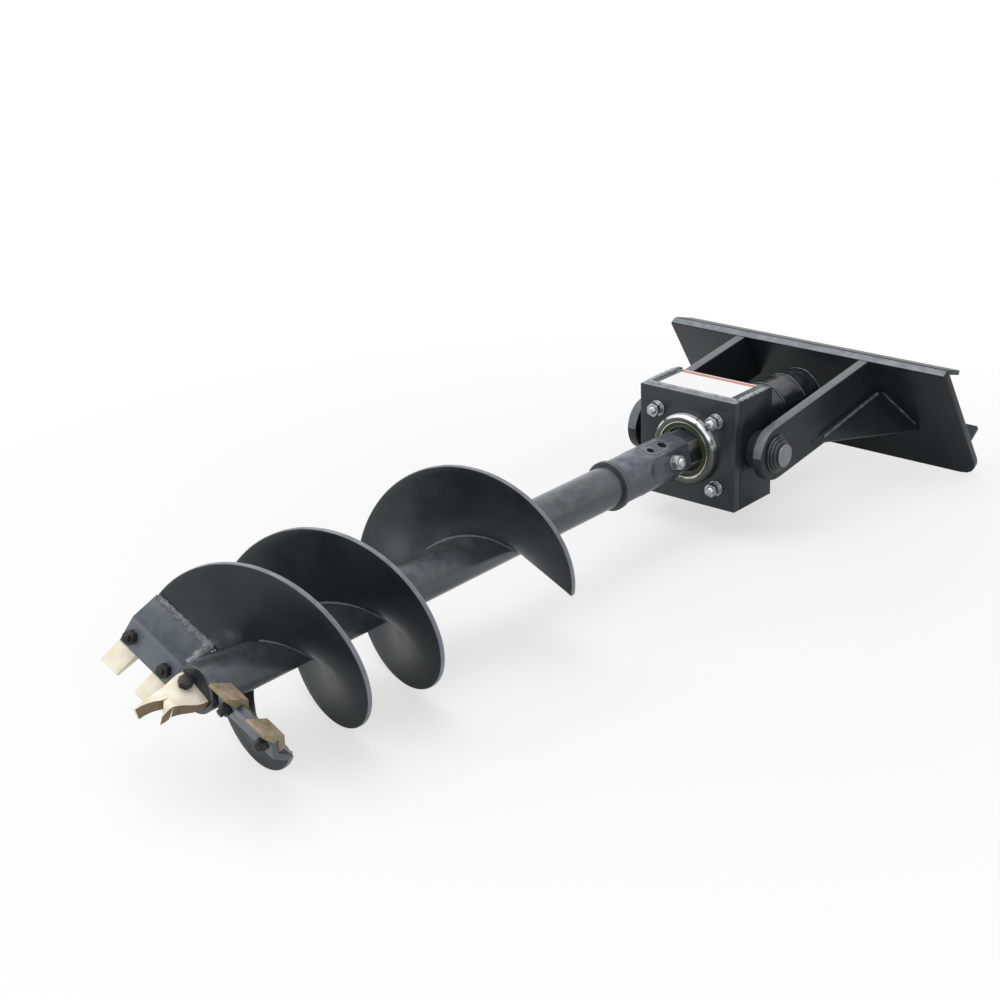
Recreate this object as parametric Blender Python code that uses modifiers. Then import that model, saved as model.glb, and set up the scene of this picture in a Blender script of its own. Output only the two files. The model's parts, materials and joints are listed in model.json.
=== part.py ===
# Hydraulic earth auger drive for a compact loader, lying on the ground.
# A hitch plate carries two arms. A drive box swings between them on two side pins.
# An orbit motor behind the box turns a shaft in two taper roller bearings, and the
# shaft turns the auger: a tube with two helical flights, a toothed head and a pilot.
# Metres. +Y runs from the tip of the auger to the hitch, +X is right, +Z is up.

import math

import bmesh
import bpy
from mathutils import Matrix, Vector

# Auger
FLIGHT_RADIUS = 0.1524
FLIGHT_THICKNESS = 0.008
FLIGHT_PITCH = 0.305
TUBE_RADIUS = 0.0365
TUBE_WALL = 0.0065
TUBE_FRONT = -1.156
TUBE_REAR = -0.2226
MAIN_FLIGHT_SETBACK = 0.252
FLIGHT_STEP = math.radians(10)
MAIN_FLIGHT_END = math.radians(470)
SHORT_FLIGHT_END = math.radians(290)

# Cutting head: each bent holder starts on a chord of the auger's circle
CHORD_ANGLE = math.radians(-64.7)
CHORD_OFFSET = 0.027
CHORD_SETBACK = 0.0555
HOLDER_THICKNESS = 0.010
HOLDER_START = 0.0031
HOLDER_UPPER_LENGTH = 0.0466
HOLDER_LOWER_LENGTH = 0.040
HOLDER_UPPER_SLOPE = math.radians(56)
HOLDER_LOWER_SLOPE = math.radians(20)
HOLDER_INNER = 0.039
HOLDER_OUTER = 0.150
TOOTH_SLOPE = math.radians(48)
TOOTH_HOOK_SHARE = 0.8
TOOTH_WIDTH = 0.036
TOOTH_REACH = 0.040
TOOTH_SEAT = 0.033
TOOTH_THICKNESS = 0.011
TOOTH_TIP_THICKNESS = 0.005
TOOTH_OUTER_PLACE = 0.134
TOOTH_INNER_PLACE = 0.060
TOOTH_BOLT_RADIUS = 0.006
TOOTH_BOLT_SETBACK = 0.017
TOOTH_NUT_FLATS = 0.019
TOOTH_NUT_HEIGHT = 0.010
TOOTH_HEAD_RADIUS = 0.0105
TOOTH_HEAD_HEIGHT = 0.005

# Pilot point
PILOT_ANGLE = math.radians(122)
PILOT_THICKNESS = 0.016
PILOT_SHANK_WIDTH = 0.042
PILOT_SHANK_LENGTH = 0.038
PILOT_LENGTH = 0.094
PILOT_SHOULDER = 0.029
PILOT_WAIST = 0.020
PILOT_FLARE = 0.027
PILOT_NOTCH_DEPTH = 0.040
PILOT_TWIST = math.radians(46)
PILOT_WAIST_SHARE = 0.55
PILOT_TWIST_SHARE = 0.25
PILOT_TIP_WIDTH = 0.004
PILOT_ROWS = 10
PILOT_COLUMNS = 3
PILOT_BOLT_RADIUS = 0.006
PILOT_BOLT_REACH = 0.0125
PILOT_BOLT_SIDE = 0.010
PILOT_NUT_FLATS = 0.019
PILOT_NUT_HEIGHT = 0.010
SOCKET_LENGTH = 0.050

# Hub
HUB_FLATS = 0.074
HUB_PHASE = math.radians(18)
HUB_REAR = -0.0425
HUB_FLAT_LENGTH = 0.108
HUB_CORNER_RADIUS = 0.0415
HUB_NECK_RADIUS = 0.0395
HUB_NECK_END = -0.222
HUB_NECK_BLEND = 0.006
HUB_SPIGOT_LENGTH = 0.030
HUB_BORE_DEPTH = 0.100
COLLAR_RADIUS = 0.0435
COLLAR_LENGTH = 0.010
RECESS_LENGTH = 0.057
RECESS_WIDTH = 0.028
RECESS_DEPTH = 0.0025
RECESS_Y = -0.108
RECESS_HOLE_SPACING = 0.033
RECESS_HOLE_RADIUS = 0.008
RECESS_SMALL_HOLE_RADIUS = 0.0065
HUB_BOLT_RADIUS = 0.008
HUB_BOLT_Y = -0.090
HUB_BOLT_WASHER_RADIUS = 0.013
HUB_BOLT_WASHER_THICKNESS = 0.003
HUB_NUT_FLATS = 0.024
HUB_NUT_HEIGHT = 0.013
HUB_BOLT_HEAD_HEIGHT = 0.010
HUB_BOLT_END = 0.006

# Output shaft and its bearings
SHAFT_HEX_FLATS = 0.0508
SHAFT_SHOULDER_FLATS = 0.067
SHAFT_SHOULDER_REAR = -0.0056
SEAL_JOURNAL_RADIUS = 0.030
BEARING_JOURNAL_RADIUS = 0.0275
SHAFT_REAR = 0.0935
SHAFT_THREAD_RADIUS = 0.0245
BEARING_WIDTH = 0.022
BEARING_OUTER_RADIUS = 0.050
BEARING_FRONT_Y = 0.017
BEARING_REAR_Y = 0.060
BEARING_ROLLERS = 12
ROLLER_RADIUS = 0.0055
ROLLER_LENGTH = 0.015
ROLLER_TILT = math.radians(14)
ROLLER_CIRCLE = 0.0385
ROLLER_FLOAT = 0.0003
CAGE_THICKNESS = 0.002
CAGE_LENGTH = 0.019
LOCKNUT_RADIUS = 0.034
LOCKNUT_THICKNESS = 0.008
COUPLING_RADIUS = 0.0155
COUPLING_FRONT = 0.047
COUPLING_REAR = 0.160

# Bearing housing, with its rounded nose standing out of the front plate
NOSE_RADIUS = 0.064
NOSE_LENGTH = 0.013
NOSE_ROUNDING = 0.006
NOSE_INNER_RADIUS = 0.0505
HOUSING_FLANGE_CLEARANCE = 0.008
HOUSING_FLANGE_THICKNESS = 0.014
HOUSING_BARREL_RADIUS = 0.060
HOUSING_REAR = 0.088
SEAL_CARRIER_INNER = 0.0400
SEAL_CARRIER_FRONT = -0.009
SEAL_CARRIER_REAR = 0.013
SEAL_INNER_RADIUS = 0.0303
SEAL_SETBACK = 0.004
HOUSING_SHOULDER = 0.006
SEAL_WIDTH = 0.010

# Drive box
BOX_WIDTH = 0.2032
SIDE_PLATE_REAR = 0.116
TOP_PLATE_REAR = 0.106
FRONT_PLATE_THICKNESS = 0.016
BOX_WALL = 0.010
REAR_PLATE_FRONT = 0.0925
REAR_PLATE_THICKNESS = 0.012
REAR_BORE_RADIUS = 0.0415
STUD_CORNER_SHARE = 0.306
STUD_RADIUS = 0.007
STUD_END = -0.0263
STUD_WASHER_RADIUS = 0.014
STUD_WASHER_THICKNESS = 0.0025
SPRING_WASHER_RADIUS = 0.0118
SPRING_WASHER_THICKNESS = 0.0035
SPRING_WASHER_SLIT = 0.0015
STUD_NUT_FLATS = 0.022
STUD_NUT_HEIGHT = 0.012

# Motor
MOTOR_FLANGE_WIDTH = 0.104
MOTOR_FLANGE_THICKNESS = 0.016
MOTOR_FLANGE_CORNER = 0.018
MOTOR_PILOT_RADIUS = 0.041
MOTOR_PILOT_LENGTH = 0.009
MOTOR_BODY_RADIUS = 0.0475
MOTOR_RING_RADIUS = 0.0455
MOTOR_BODY_REAR = 0.245
MOTOR_RING_REAR = 0.309
MOTOR_COVER_REAR = 0.3625
MOTOR_SHAFT_BORE = 0.0175
MOTOR_SHAFT_DEPTH = 0.070
WRAP_THICKNESS = 0.0012
WRAP_FRONT = 0.1195
WRAP_FLARE_RADIUS = 0.0685
WRAP_FLARE_REAR = 0.175
WRAP_RADIUS = 0.0505
WRAP_SAG_SHARE = 0.7
WRAP_RIDGE = 0.0018
WRAP_RIDGE_LENGTH = 0.005
WRAP_REAR = 0.3668
WRAP_REAR_ROUNDING = 0.004

# Side pins and their swing joint
PIVOT_Y = 0.066
PIN_RADIUS = 0.021
PIN_PROUD = 0.019
PIN_INSET = 0.0096
PIN_CHAMFER = 0.0015
BOSS_RADIUS = 0.034
BUSH_WALL = 0.003
COLLAR_STEP_RADII = (0.0345, 0.0305, 0.027)
COLLAR_STEP = 0.0046

# Hitch frame
ARM_CLEARANCE = 0.0244
ARM_THICKNESS = 0.019
ARM_END_RADIUS = 0.048
ARM_RISE = math.radians(7.4)
PLATE_WIDTH = 0.606
PLATE_THICKNESS = 0.015
PLATE_LEAN = math.radians(32.5)
PLATE_TOP_Y = 0.3705
PLATE_TOP_RISE = 0.0877
PLATE_BOTTOM_CORNER = 0.036
PLATE_TOP_CORNER = 0.006
GUSSET_THICKNESS = 0.010
GUSSET_FRONT = (0.209, -0.016)
GUSSET_REAR = (0.412, 0.017)
GUSSET_OUTER = (0.463, -0.057)
GUSSET_REACH = 0.055
GUSSET_SPREAD_SHARE = 1.25
HOOK_THICKNESS = 0.009
HOOK_DEPTH = 0.046
HOOK_ANGLE = math.radians(48)
HOOK_ROOT_DROP = 0.013
HOOK_WIDTH = 0.594
LEDGE_THICKNESS = 0.010
LEDGE_DEPTH = 0.058
LEDGE_HEIGHT = 0.052
LEDGE_WIDTH = 0.560
LOCK_SLOT_SPACING = 0.420
LOCK_SLOT_LENGTH = 0.042
LOCK_SLOT_WIDTH = 0.026
LOCK_SLOT_SETBACK = 0.030

# Fits
GAP = 0.0003
OVERRUN = 0.004
MERGE = 0.00001

# Facets
ROUND = 36
FINE_ROUND = 36
SMALL_ROUND = 12
BOLT_ROUND = 12
ROLLER_ROUND = 8
ARC_STEPS = 4
RADIAL_STEPS = 3
LEAD_STEPS = 3
HEX = 6
SHARP = math.radians(32)

# The auger's axis lies one flight radius up. The flights' lowest facets rest on the ground.
FLIGHT_HELIX = math.atan(FLIGHT_PITCH / (math.tau * FLIGHT_RADIUS))
FLIGHT_EDGE_SHIFT = FLIGHT_THICKNESS / 2 * math.sin(FLIGHT_HELIX)
FLIGHT_EDGE_ANGLE = math.atan(FLIGHT_EDGE_SHIFT / FLIGHT_RADIUS)
AXIS_HEIGHT = math.hypot(FLIGHT_RADIUS, FLIGHT_EDGE_SHIFT) * math.cos(FLIGHT_STEP / 2 - FLIGHT_EDGE_ANGLE)
PILOT_TIP = TUBE_FRONT - PILOT_LENGTH
PILOT_BOLT_Y = TUBE_FRONT - PILOT_BOLT_REACH
MAIN_FLIGHT_TOP = TUBE_FRONT + MAIN_FLIGHT_SETBACK
CHORD_Y = TUBE_FRONT + CHORD_SETBACK
PLATE_DOWN = Vector((0, math.sin(PLATE_LEAN), -math.cos(PLATE_LEAN)))
PLATE_BACK = Vector((0, math.cos(PLATE_LEAN), math.sin(PLATE_LEAN)))
PLATE_TOP = Vector((0, PLATE_TOP_Y, PLATE_TOP_RISE))
PLATE_HEIGHT = (PLATE_TOP_RISE + AXIS_HEIGHT) / math.cos(PLATE_LEAN)
LEDGE_ROOT = PLATE_TOP + PLATE_DOWN * (PLATE_HEIGHT - LEDGE_HEIGHT) + PLATE_BACK * PLATE_THICKNESS
REAR_END = (LEDGE_ROOT + PLATE_BACK * (GAP + LEDGE_DEPTH) + PLATE_DOWN * LEDGE_THICKNESS / 2).y
ORIGIN_SHIFT = Vector((0, -(PILOT_TIP + REAR_END) / 2, AXIS_HEIGHT))
PIVOT = Vector((0, PIVOT_Y, 0))
HALF_BOX = BOX_WIDTH / 2
HALF_INSIDE = HALF_BOX - BOX_WALL
ARM_INNER = HALF_BOX + ARM_CLEARANCE
ARM_OUTER = ARM_INNER + ARM_THICKNESS
PIN_END = ARM_OUTER + PIN_PROUD
PIN_ROOT = HALF_INSIDE - PIN_INSET
NOSE_DIAGONAL = NOSE_RADIUS * math.cos(math.pi / 4)
STUD_REACH = NOSE_DIAGONAL + (HALF_BOX - NOSE_DIAGONAL) * STUD_CORNER_SHARE
HOUSING_FLANGE = (HALF_INSIDE - HOUSING_FLANGE_CLEARANCE) * 2

ALONG_Y = Matrix.Rotation(-math.pi / 2, 4, "X")
ALONG_X = Matrix.Rotation(math.pi / 2, 4, "Y")


def clear_scene():
    for thing in list(bpy.data.objects):
        bpy.data.objects.remove(thing)


clear_scene()
PARTS = bpy.data.collections.new("earth_auger_drive")
CUTTERS = bpy.data.collections.new("cutters")
bpy.context.scene.collection.children.link(PARTS)
bpy.context.scene.collection.children.link(CUTTERS)


def finish(name, colour, roughness, metallic):
    made = bpy.data.materials.new(name)
    made.use_nodes = True
    shader = made.node_tree.nodes["Principled BSDF"]
    shader.inputs["Base Color"].default_value = (*colour, 1)
    shader.inputs["Roughness"].default_value = roughness
    shader.inputs["Metallic"].default_value = metallic
    made.diffuse_color = (*colour, 1)
    return made


PAINT = ((0.035, 0.038, 0.042), 0.38, 0.0)
ZINC = ((0.62, 0.63, 0.64), 0.34, 1.0)
YELLOW_ZINC = ((0.72, 0.62, 0.40), 0.42, 0.8)
OLIVE_ZINC = ((0.30, 0.29, 0.10), 0.45, 0.7)
BARE_STEEL = ((0.52, 0.53, 0.54), 0.30, 1.0)
GROUND_STEEL = ((0.60, 0.61, 0.62), 0.20, 1.0)
BLACK_BOLT = ((0.03, 0.03, 0.03), 0.5, 0.6)
RUBBER = ((0.015, 0.015, 0.015), 0.7, 0.0)
BRONZE = ((0.45, 0.27, 0.10), 0.4, 1.0)
FILM = ((0.02, 0.02, 0.022), 0.25, 0.0)


def body(name, place, parent=None):
    """An empty on the joint's axis. Its pieces are made relative to it."""
    empty = bpy.data.objects.new(name, None)
    empty.location = place
    empty.parent = parent
    PARTS.objects.link(empty)
    return empty


FRAME = body("hitch_frame", ORIGIN_SHIFT)
DRIVE = body("drive_swing_axis", PIVOT, FRAME)
AUGER = body("auger_spin_axis", -PIVOT, DRIVE)
OFFSETS = {FRAME: Vector((0, 0, 0)), DRIVE: PIVOT, AUGER: Vector((0, 0, 0))}


def add(name, mesh, owner, look, collection=PARTS):
    """Put a mesh made in the drive's frame on one body."""
    mesh.transform(Matrix.Translation(-OFFSETS[owner]))
    thing = bpy.data.objects.new(name, mesh)
    thing.parent = owner
    collection.objects.link(thing)
    if look is not None:
        mesh.materials.clear()
        mesh.materials.append(finish(name + "_finish", *look))
    mesh.shade_smooth()
    mesh.set_sharp_from_angle(angle=SHARP)
    return thing


def tool(name, mesh, owner):
    cutter = add(name, mesh, owner, None, CUTTERS)
    cutter.hide_render = True
    cutter.display_type = "WIRE"
    return cutter


def carve(part, cutter, operation="DIFFERENCE"):
    step = part.modifiers.new(cutter.name, "BOOLEAN")
    step.operation = operation
    step.solver = "EXACT"
    step.object = cutter
    return part


def baked(thing):
    """The evaluated mesh of a helper object, which is then removed."""
    bpy.context.view_layer.update()
    graph = bpy.context.evaluated_depsgraph_get()
    mesh = bpy.data.meshes.new_from_object(thing.evaluated_get(graph), depsgraph=graph)
    data = thing.data
    bpy.data.objects.remove(thing)
    if isinstance(data, bpy.types.Mesh):
        bpy.data.meshes.remove(data)
    else:
        bpy.data.curves.remove(data)
    return mesh


def welded(mesh):
    edit = bmesh.new()
    edit.from_mesh(mesh)
    bmesh.ops.remove_doubles(edit, verts=edit.verts, dist=MERGE)
    edit.to_mesh(mesh)
    edit.free()
    return mesh


def plate_mesh(outlines, thickness, place):
    """A flat outline with its holes, as thick as said, centred on the XY plane of its place."""
    curve = bpy.data.curves.new("outline", "CURVE")
    curve.dimensions = "2D"
    curve.fill_mode = "BOTH"
    curve.extrude = thickness / 2
    for points in outlines:
        spline = curve.splines.new("POLY")
        spline.points.add(len(points) - 1)
        for point, (across, along) in zip(spline.points, points):
            point.co = (across, along, 0, 1)
        spline.use_cyclic_u = True
    holder = bpy.data.objects.new("outline", curve)
    CUTTERS.objects.link(holder)
    mesh = welded(baked(holder))
    mesh.transform(place)
    return mesh


def turned_mesh(profile, place, steps=ROUND, closed=True, start=0.0):
    """A profile of (radius, height) turned round the Z axis of its place."""
    mesh = bpy.data.meshes.new("profile")
    points = [(radius, 0, height) for radius, height in profile]
    edges = [(index, index + 1) for index in range(len(points) - 1)]
    if closed:
        edges.append((len(points) - 1, 0))
    mesh.from_pydata(points, edges, [])
    holder = bpy.data.objects.new("profile", mesh)
    CUTTERS.objects.link(holder)
    turn = holder.modifiers.new("turn", "SCREW")
    turn.axis = "Z"
    turn.steps = steps
    turn.render_steps = steps
    turn.use_merge_vertices = True
    turn.merge_threshold = MERGE
    result = welded(baked(holder))
    result.transform(place @ Matrix.Rotation(start, 4, "Z"))
    return result


def ring_mesh(outer, inner, low, high, place, steps=ROUND, start=0.0):
    return turned_mesh([(outer, high), (outer, low), (inner, low), (inner, high)],
                       place, steps, True, start)


def rod_mesh(radius, low, high, place, steps=ROUND, start=0.0):
    return turned_mesh([(0, high), (radius, high), (radius, low), (0, low)],
                       place, steps, False, start)


def circle(radius, steps=ROUND, centre=(0, 0), start=0.0):
    return [(centre[0] + radius * math.cos(start + math.tau * k / steps),
             centre[1] + radius * math.sin(start + math.tau * k / steps)) for k in range(steps)]


def hexagon(flats, first_flat=0.0, centre=(0, 0)):
    """A hexagon across flats, with a flat facing the given angle."""
    corner = flats / 2 / math.cos(math.pi / HEX)
    return circle(corner, HEX, centre, first_flat + math.pi / HEX)


def rectangle(width, height, corner=0.0, steps=ARC_STEPS):
    """A rectangle round the origin, with round corners where a radius is given."""
    if corner == 0:
        return [(-width / 2, -height / 2), (width / 2, -height / 2),
                (width / 2, height / 2), (-width / 2, height / 2)]
    points = []
    for quarter, (side, end) in enumerate(((1, -1), (1, 1), (-1, 1), (-1, -1))):
        middle = (side * (width / 2 - corner), end * (height / 2 - corner))
        for k in range(steps + 1):
            angle = -math.pi / 2 + (quarter + k / steps) * math.pi / 2
            points.append((middle[0] + corner * math.cos(angle), middle[1] + corner * math.sin(angle)))
    return points


def box_mesh(low, high, place=None):
    edit = bmesh.new()
    size = Vector(high) - Vector(low)
    middle = (Vector(high) + Vector(low)) / 2
    bmesh.ops.create_cube(edit, size=1, matrix=Matrix.Translation(middle) @ Matrix.Diagonal((*size, 1)))
    mesh = bpy.data.meshes.new("box")
    edit.to_mesh(mesh)
    edit.free()
    if place is not None:
        mesh.transform(place)
    return mesh


def joined(meshes):
    """Several separate solids in one mesh."""
    edit = bmesh.new()
    for mesh in meshes:
        edit.from_mesh(mesh)
        bpy.data.meshes.remove(mesh)
    result = bpy.data.meshes.new("group")
    edit.to_mesh(result)
    edit.free()
    return result


def frame_of(origin, across, along):
    """A place whose X runs across, Y runs along and Z is normal to both."""
    across = across.normalized()
    normal = across.cross(along).normalized()
    along = normal.cross(across)
    return Matrix.Translation(origin) @ Matrix((across, along, normal)).transposed().to_4x4()


def clock(angle):
    """The outward direction at an angle from the top towards +X, seen from the tip."""
    return Vector((math.sin(angle), 0, math.cos(angle)))


def half_turn(mesh):
    copy = mesh.copy()
    copy.transform(Matrix.Rotation(math.pi, 4, "Y"))
    return copy


def mirrored(mesh):
    """The same piece on the other side of the middle plane."""
    copy = mesh.copy()
    copy.transform(Matrix.Diagonal((-1, 1, 1, 1)))
    copy.flip_normals()
    return copy


# Flights


def chord_angle(radius):
    """Where the chord of the cutting head meets a circle of this radius."""
    return CHORD_ANGLE + math.asin(CHORD_OFFSET / radius)


def flight(name, top, start_turn, end):
    """A helicoid whose front edge is cut along the chord that the tooth holder is welded to."""
    inner = TUBE_RADIUS - TUBE_WALL / 2
    radii = [inner + (FLIGHT_RADIUS - inner) * k / RADIAL_STEPS for k in range(RADIAL_STEPS + 1)]
    first = start_turn + FLIGHT_STEP / 2 + FLIGHT_STEP * math.ceil(chord_angle(inner) / FLIGHT_STEP)
    count = round((end - first) / FLIGHT_STEP)
    lead_y = CHORD_Y - top
    edit = bmesh.new()
    rows = []
    for radius in radii:
        row = []
        start = start_turn + chord_angle(radius)
        for k in range(LEAD_STEPS):
            share = k / LEAD_STEPS
            angle = start + (first - start) * share
            y = lead_y + (FLIGHT_PITCH * first / math.tau - lead_y) * share
            row.append(edit.verts.new(clock(angle) * radius + Vector((0, top + y, 0))))
        for k in range(count + 1):
            angle = first + FLIGHT_STEP * k
            y = FLIGHT_PITCH * angle / math.tau
            row.append(edit.verts.new(clock(angle) * radius + Vector((0, top + y, 0))))
        rows.append(row)
    for low, high in zip(rows, rows[1:]):
        for k in range(len(low) - 1):
            edit.faces.new((low[k], low[k + 1], high[k + 1], high[k]))
    mesh = bpy.data.meshes.new(name)
    edit.to_mesh(mesh)
    edit.free()
    part = add(name, mesh, AUGER, PAINT)
    wall = part.modifiers.new("thickness", "SOLIDIFY")
    wall.thickness = FLIGHT_THICKNESS
    wall.offset = 0
    carve(part, tool(name + "_tube_room",
                     rod_mesh(TUBE_RADIUS + GAP, TUBE_FRONT - OVERRUN, TUBE_REAR, ALONG_Y, ROUND,
                           FLIGHT_STEP / 2),
                     AUGER))
    return part


flight("flight_main", MAIN_FLIGHT_TOP, -math.pi, MAIN_FLIGHT_END)
flight("flight_short", MAIN_FLIGHT_TOP - FLIGHT_PITCH / 2, 0.0, SHORT_FLIGHT_END)

# Tube, collar and pilot socket

add("stem_tube",
    ring_mesh(TUBE_RADIUS, TUBE_RADIUS - TUBE_WALL, TUBE_FRONT, TUBE_REAR, ALONG_Y, ROUND,
              FLIGHT_STEP / 2), AUGER, PAINT)

add("stem_collar",
    ring_mesh(COLLAR_RADIUS, TUBE_RADIUS + GAP, TUBE_REAR - COLLAR_LENGTH, TUBE_REAR, ALONG_Y, ROUND,
              FLIGHT_STEP / 2), AUGER, PAINT)

PILOT_SIDE = clock(PILOT_ANGLE)
PILOT_FACE = clock(PILOT_ANGLE - math.pi / 2)
FORWARD = Vector((0, -1, 0))
socket = add("pilot_socket",
             rod_mesh(TUBE_RADIUS - TUBE_WALL - GAP, TUBE_FRONT, TUBE_FRONT + SOCKET_LENGTH, ALONG_Y,
                      ROUND, FLIGHT_STEP / 2), AUGER, BARE_STEEL)
slot = Matrix.Translation((0, TUBE_FRONT, 0)) @ frame_of(Vector(), PILOT_SIDE, FORWARD)
carve(socket, tool("pilot_slot",
                   box_mesh((-PILOT_SHANK_WIDTH / 2 - GAP, -PILOT_SHANK_LENGTH - GAP,
                             -PILOT_THICKNESS / 2 - GAP),
                            (PILOT_SHANK_WIDTH / 2 + GAP, OVERRUN, PILOT_THICKNESS / 2 + GAP), slot),
                   AUGER))


def pilot_rows():
    """Distance ahead of the tube and half width, from the end of the shank to the tip."""
    rows = [(-PILOT_SHANK_LENGTH, PILOT_SHANK_WIDTH / 2), (GAP, PILOT_SHANK_WIDTH / 2)]
    start = GAP * 2
    for k in range(PILOT_ROWS + 1):
        share = k / PILOT_ROWS
        rows.append((start + (PILOT_LENGTH - start) * share, pilot_half_width(share)))
    return rows


def pilot():
    """A flat fishtail: two prongs behind a notch, twisted the way the auger cuts."""
    edit = bmesh.new()
    rows = pilot_rows()
    made = {}
    for row, (ahead, width) in enumerate(rows):
        notch = pilot_notch(ahead)
        past = max(0.0, ahead / PILOT_LENGTH - PILOT_TWIST_SHARE) / (1 - PILOT_TWIST_SHARE)
        turn = Matrix.Rotation(-PILOT_TWIST * past, 4, "Y")
        for side in (-1, 1):
            for column in range(PILOT_COLUMNS + 1):
                if side > 0 and column == 0 and notch == 0:
                    made[side, row, column] = made[-1, row, 0]
                    continue
                across = side * (notch + (width - notch) * column / PILOT_COLUMNS)
                made[side, row, column] = edit.verts.new(turn @ (slot @ Vector((across, ahead, 0))))
    for side in (-1, 1):
        for row in range(len(rows) - 1):
            for column in range(PILOT_COLUMNS):
                face = [made[side, row, column], made[side, row, column + 1],
                        made[side, row + 1, column + 1], made[side, row + 1, column]]
                if side < 0:
                    face.reverse()
                edit.faces.new(face)
    mesh = bpy.data.meshes.new("pilot_point")
    edit.to_mesh(mesh)
    edit.free()
    part = add("pilot_point", mesh, AUGER, YELLOW_ZINC)
    wall = part.modifiers.new("thickness", "SOLIDIFY")
    wall.thickness = PILOT_THICKNESS
    wall.offset = 0
    return part


def pilot_half_width(share):
    """Shoulder, waist and flared tip, as a smooth curve over the pilot's length."""
    if share < PILOT_WAIST_SHARE:
        ease = (1 - math.cos(math.pi * share / PILOT_WAIST_SHARE)) / 2
        return PILOT_SHOULDER + (PILOT_WAIST - PILOT_SHOULDER) * ease
    ease = (share - PILOT_WAIST_SHARE) / (1 - PILOT_WAIST_SHARE)
    return PILOT_WAIST + (PILOT_FLARE - PILOT_WAIST) * ease * ease


def pilot_notch(ahead):
    """Half the width of the notch between the prongs."""
    into = ahead - (PILOT_LENGTH - PILOT_NOTCH_DEPTH)
    if into <= MERGE:
        return 0.0
    return (PILOT_FLARE - PILOT_TIP_WIDTH) * into / PILOT_NOTCH_DEPTH


pilot_part = pilot()


def across_rod(radius, low, high, centre, direction, steps=BOLT_ROUND):
    """A rod round a line through the centre, between two distances along its direction."""
    turn = Vector((0, 0, 1)).rotation_difference(direction).to_matrix().to_4x4()
    return rod_mesh(radius, low, high, Matrix.Translation(centre) @ turn, steps)


def hex_nut(flats, low, high, hole, centre, direction):
    turn = Vector((0, 0, 1)).rotation_difference(direction).to_matrix().to_4x4()
    place = Matrix.Translation(Vector(centre) + Vector(direction) * (low + high) / 2) @ turn
    outlines = [hexagon(flats)]
    if hole:
        outlines.append(circle(hole, BOLT_ROUND))
    return plate_mesh(outlines, high - low, place)


pilot_bolt_centre = Vector((0, PILOT_BOLT_Y, 0)) - PILOT_SIDE * PILOT_BOLT_SIDE
carve(pilot_part, tool("pilot_bolt_hole",
                       across_rod(PILOT_BOLT_RADIUS + GAP, -PILOT_THICKNESS, PILOT_THICKNESS,
                                  pilot_bolt_centre, PILOT_FACE), AUGER))
pilot_half = PILOT_THICKNESS / 2
bolt = add("pilot_bolt",
           across_rod(PILOT_BOLT_RADIUS, -pilot_half - PILOT_NUT_HEIGHT - HUB_BOLT_END,
                      pilot_half + GAP * 2, pilot_bolt_centre, PILOT_FACE), AUGER, ZINC)
carve(bolt, tool("pilot_bolt_ends",
                 joined([hex_nut(PILOT_NUT_FLATS, pilot_half + GAP, pilot_half + GAP + PILOT_NUT_HEIGHT, 0,
                                 pilot_bolt_centre, PILOT_FACE),
                         hex_nut(PILOT_NUT_FLATS, -pilot_half - GAP - PILOT_NUT_HEIGHT, -pilot_half - GAP, 0,
                                 pilot_bolt_centre, PILOT_FACE)]), AUGER), "UNION")

# Tooth holders, teeth and their bolts

OUTWARD = clock(CHORD_ANGLE)
LEADING = clock(CHORD_ANGLE - math.pi / 2)
CHORD_ORIGIN = -LEADING * CHORD_OFFSET + Vector((0, CHORD_Y, 0))


def head_point(out, ahead, drop):
    """A point of the cutting head: along the chord, ahead of it and towards the tip."""
    return CHORD_ORIGIN + OUTWARD * out + LEADING * ahead + FORWARD * drop


def slope(angle):
    return Vector((math.cos(angle), math.sin(angle)))


UPPER = slope(HOLDER_UPPER_SLOPE)
LOWER = slope(HOLDER_LOWER_SLOPE)
NOSE = slope(TOOTH_SLOPE)
FOLD = UPPER * HOLDER_UPPER_LENGTH
LEAD_EDGE = FOLD + LOWER * HOLDER_LOWER_LENGTH


def raised(along, height):
    """The point this high above a line of the head's side view, towards the drive box."""
    return Vector((along.y, -along.x)) * height


def holder_mesh():
    """A plate folded once, seen from the side as a bent strip, and as long as the head is wide."""
    half = HOLDER_THICKNESS / 2
    start = UPPER * HOLDER_START
    fold_bend = (HOLDER_LOWER_SLOPE - HOLDER_UPPER_SLOPE) / 2
    fold_out = slope((HOLDER_UPPER_SLOPE + HOLDER_LOWER_SLOPE) / 2)
    fold_half = raised(fold_out, half / math.cos(fold_bend))
    strip = [start - raised(UPPER, half), FOLD - fold_half, LEAD_EDGE - raised(LOWER, half),
             LEAD_EDGE + raised(LOWER, half), FOLD + fold_half, start + raised(UPPER, half)]
    middle = (HOLDER_INNER + HOLDER_OUTER) / 2
    place = frame_of(head_point(middle, 0, 0), LEADING, FORWARD)
    return plate_mesh([[tuple(point) for point in strip]], HOLDER_OUTER - HOLDER_INNER, place)


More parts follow.
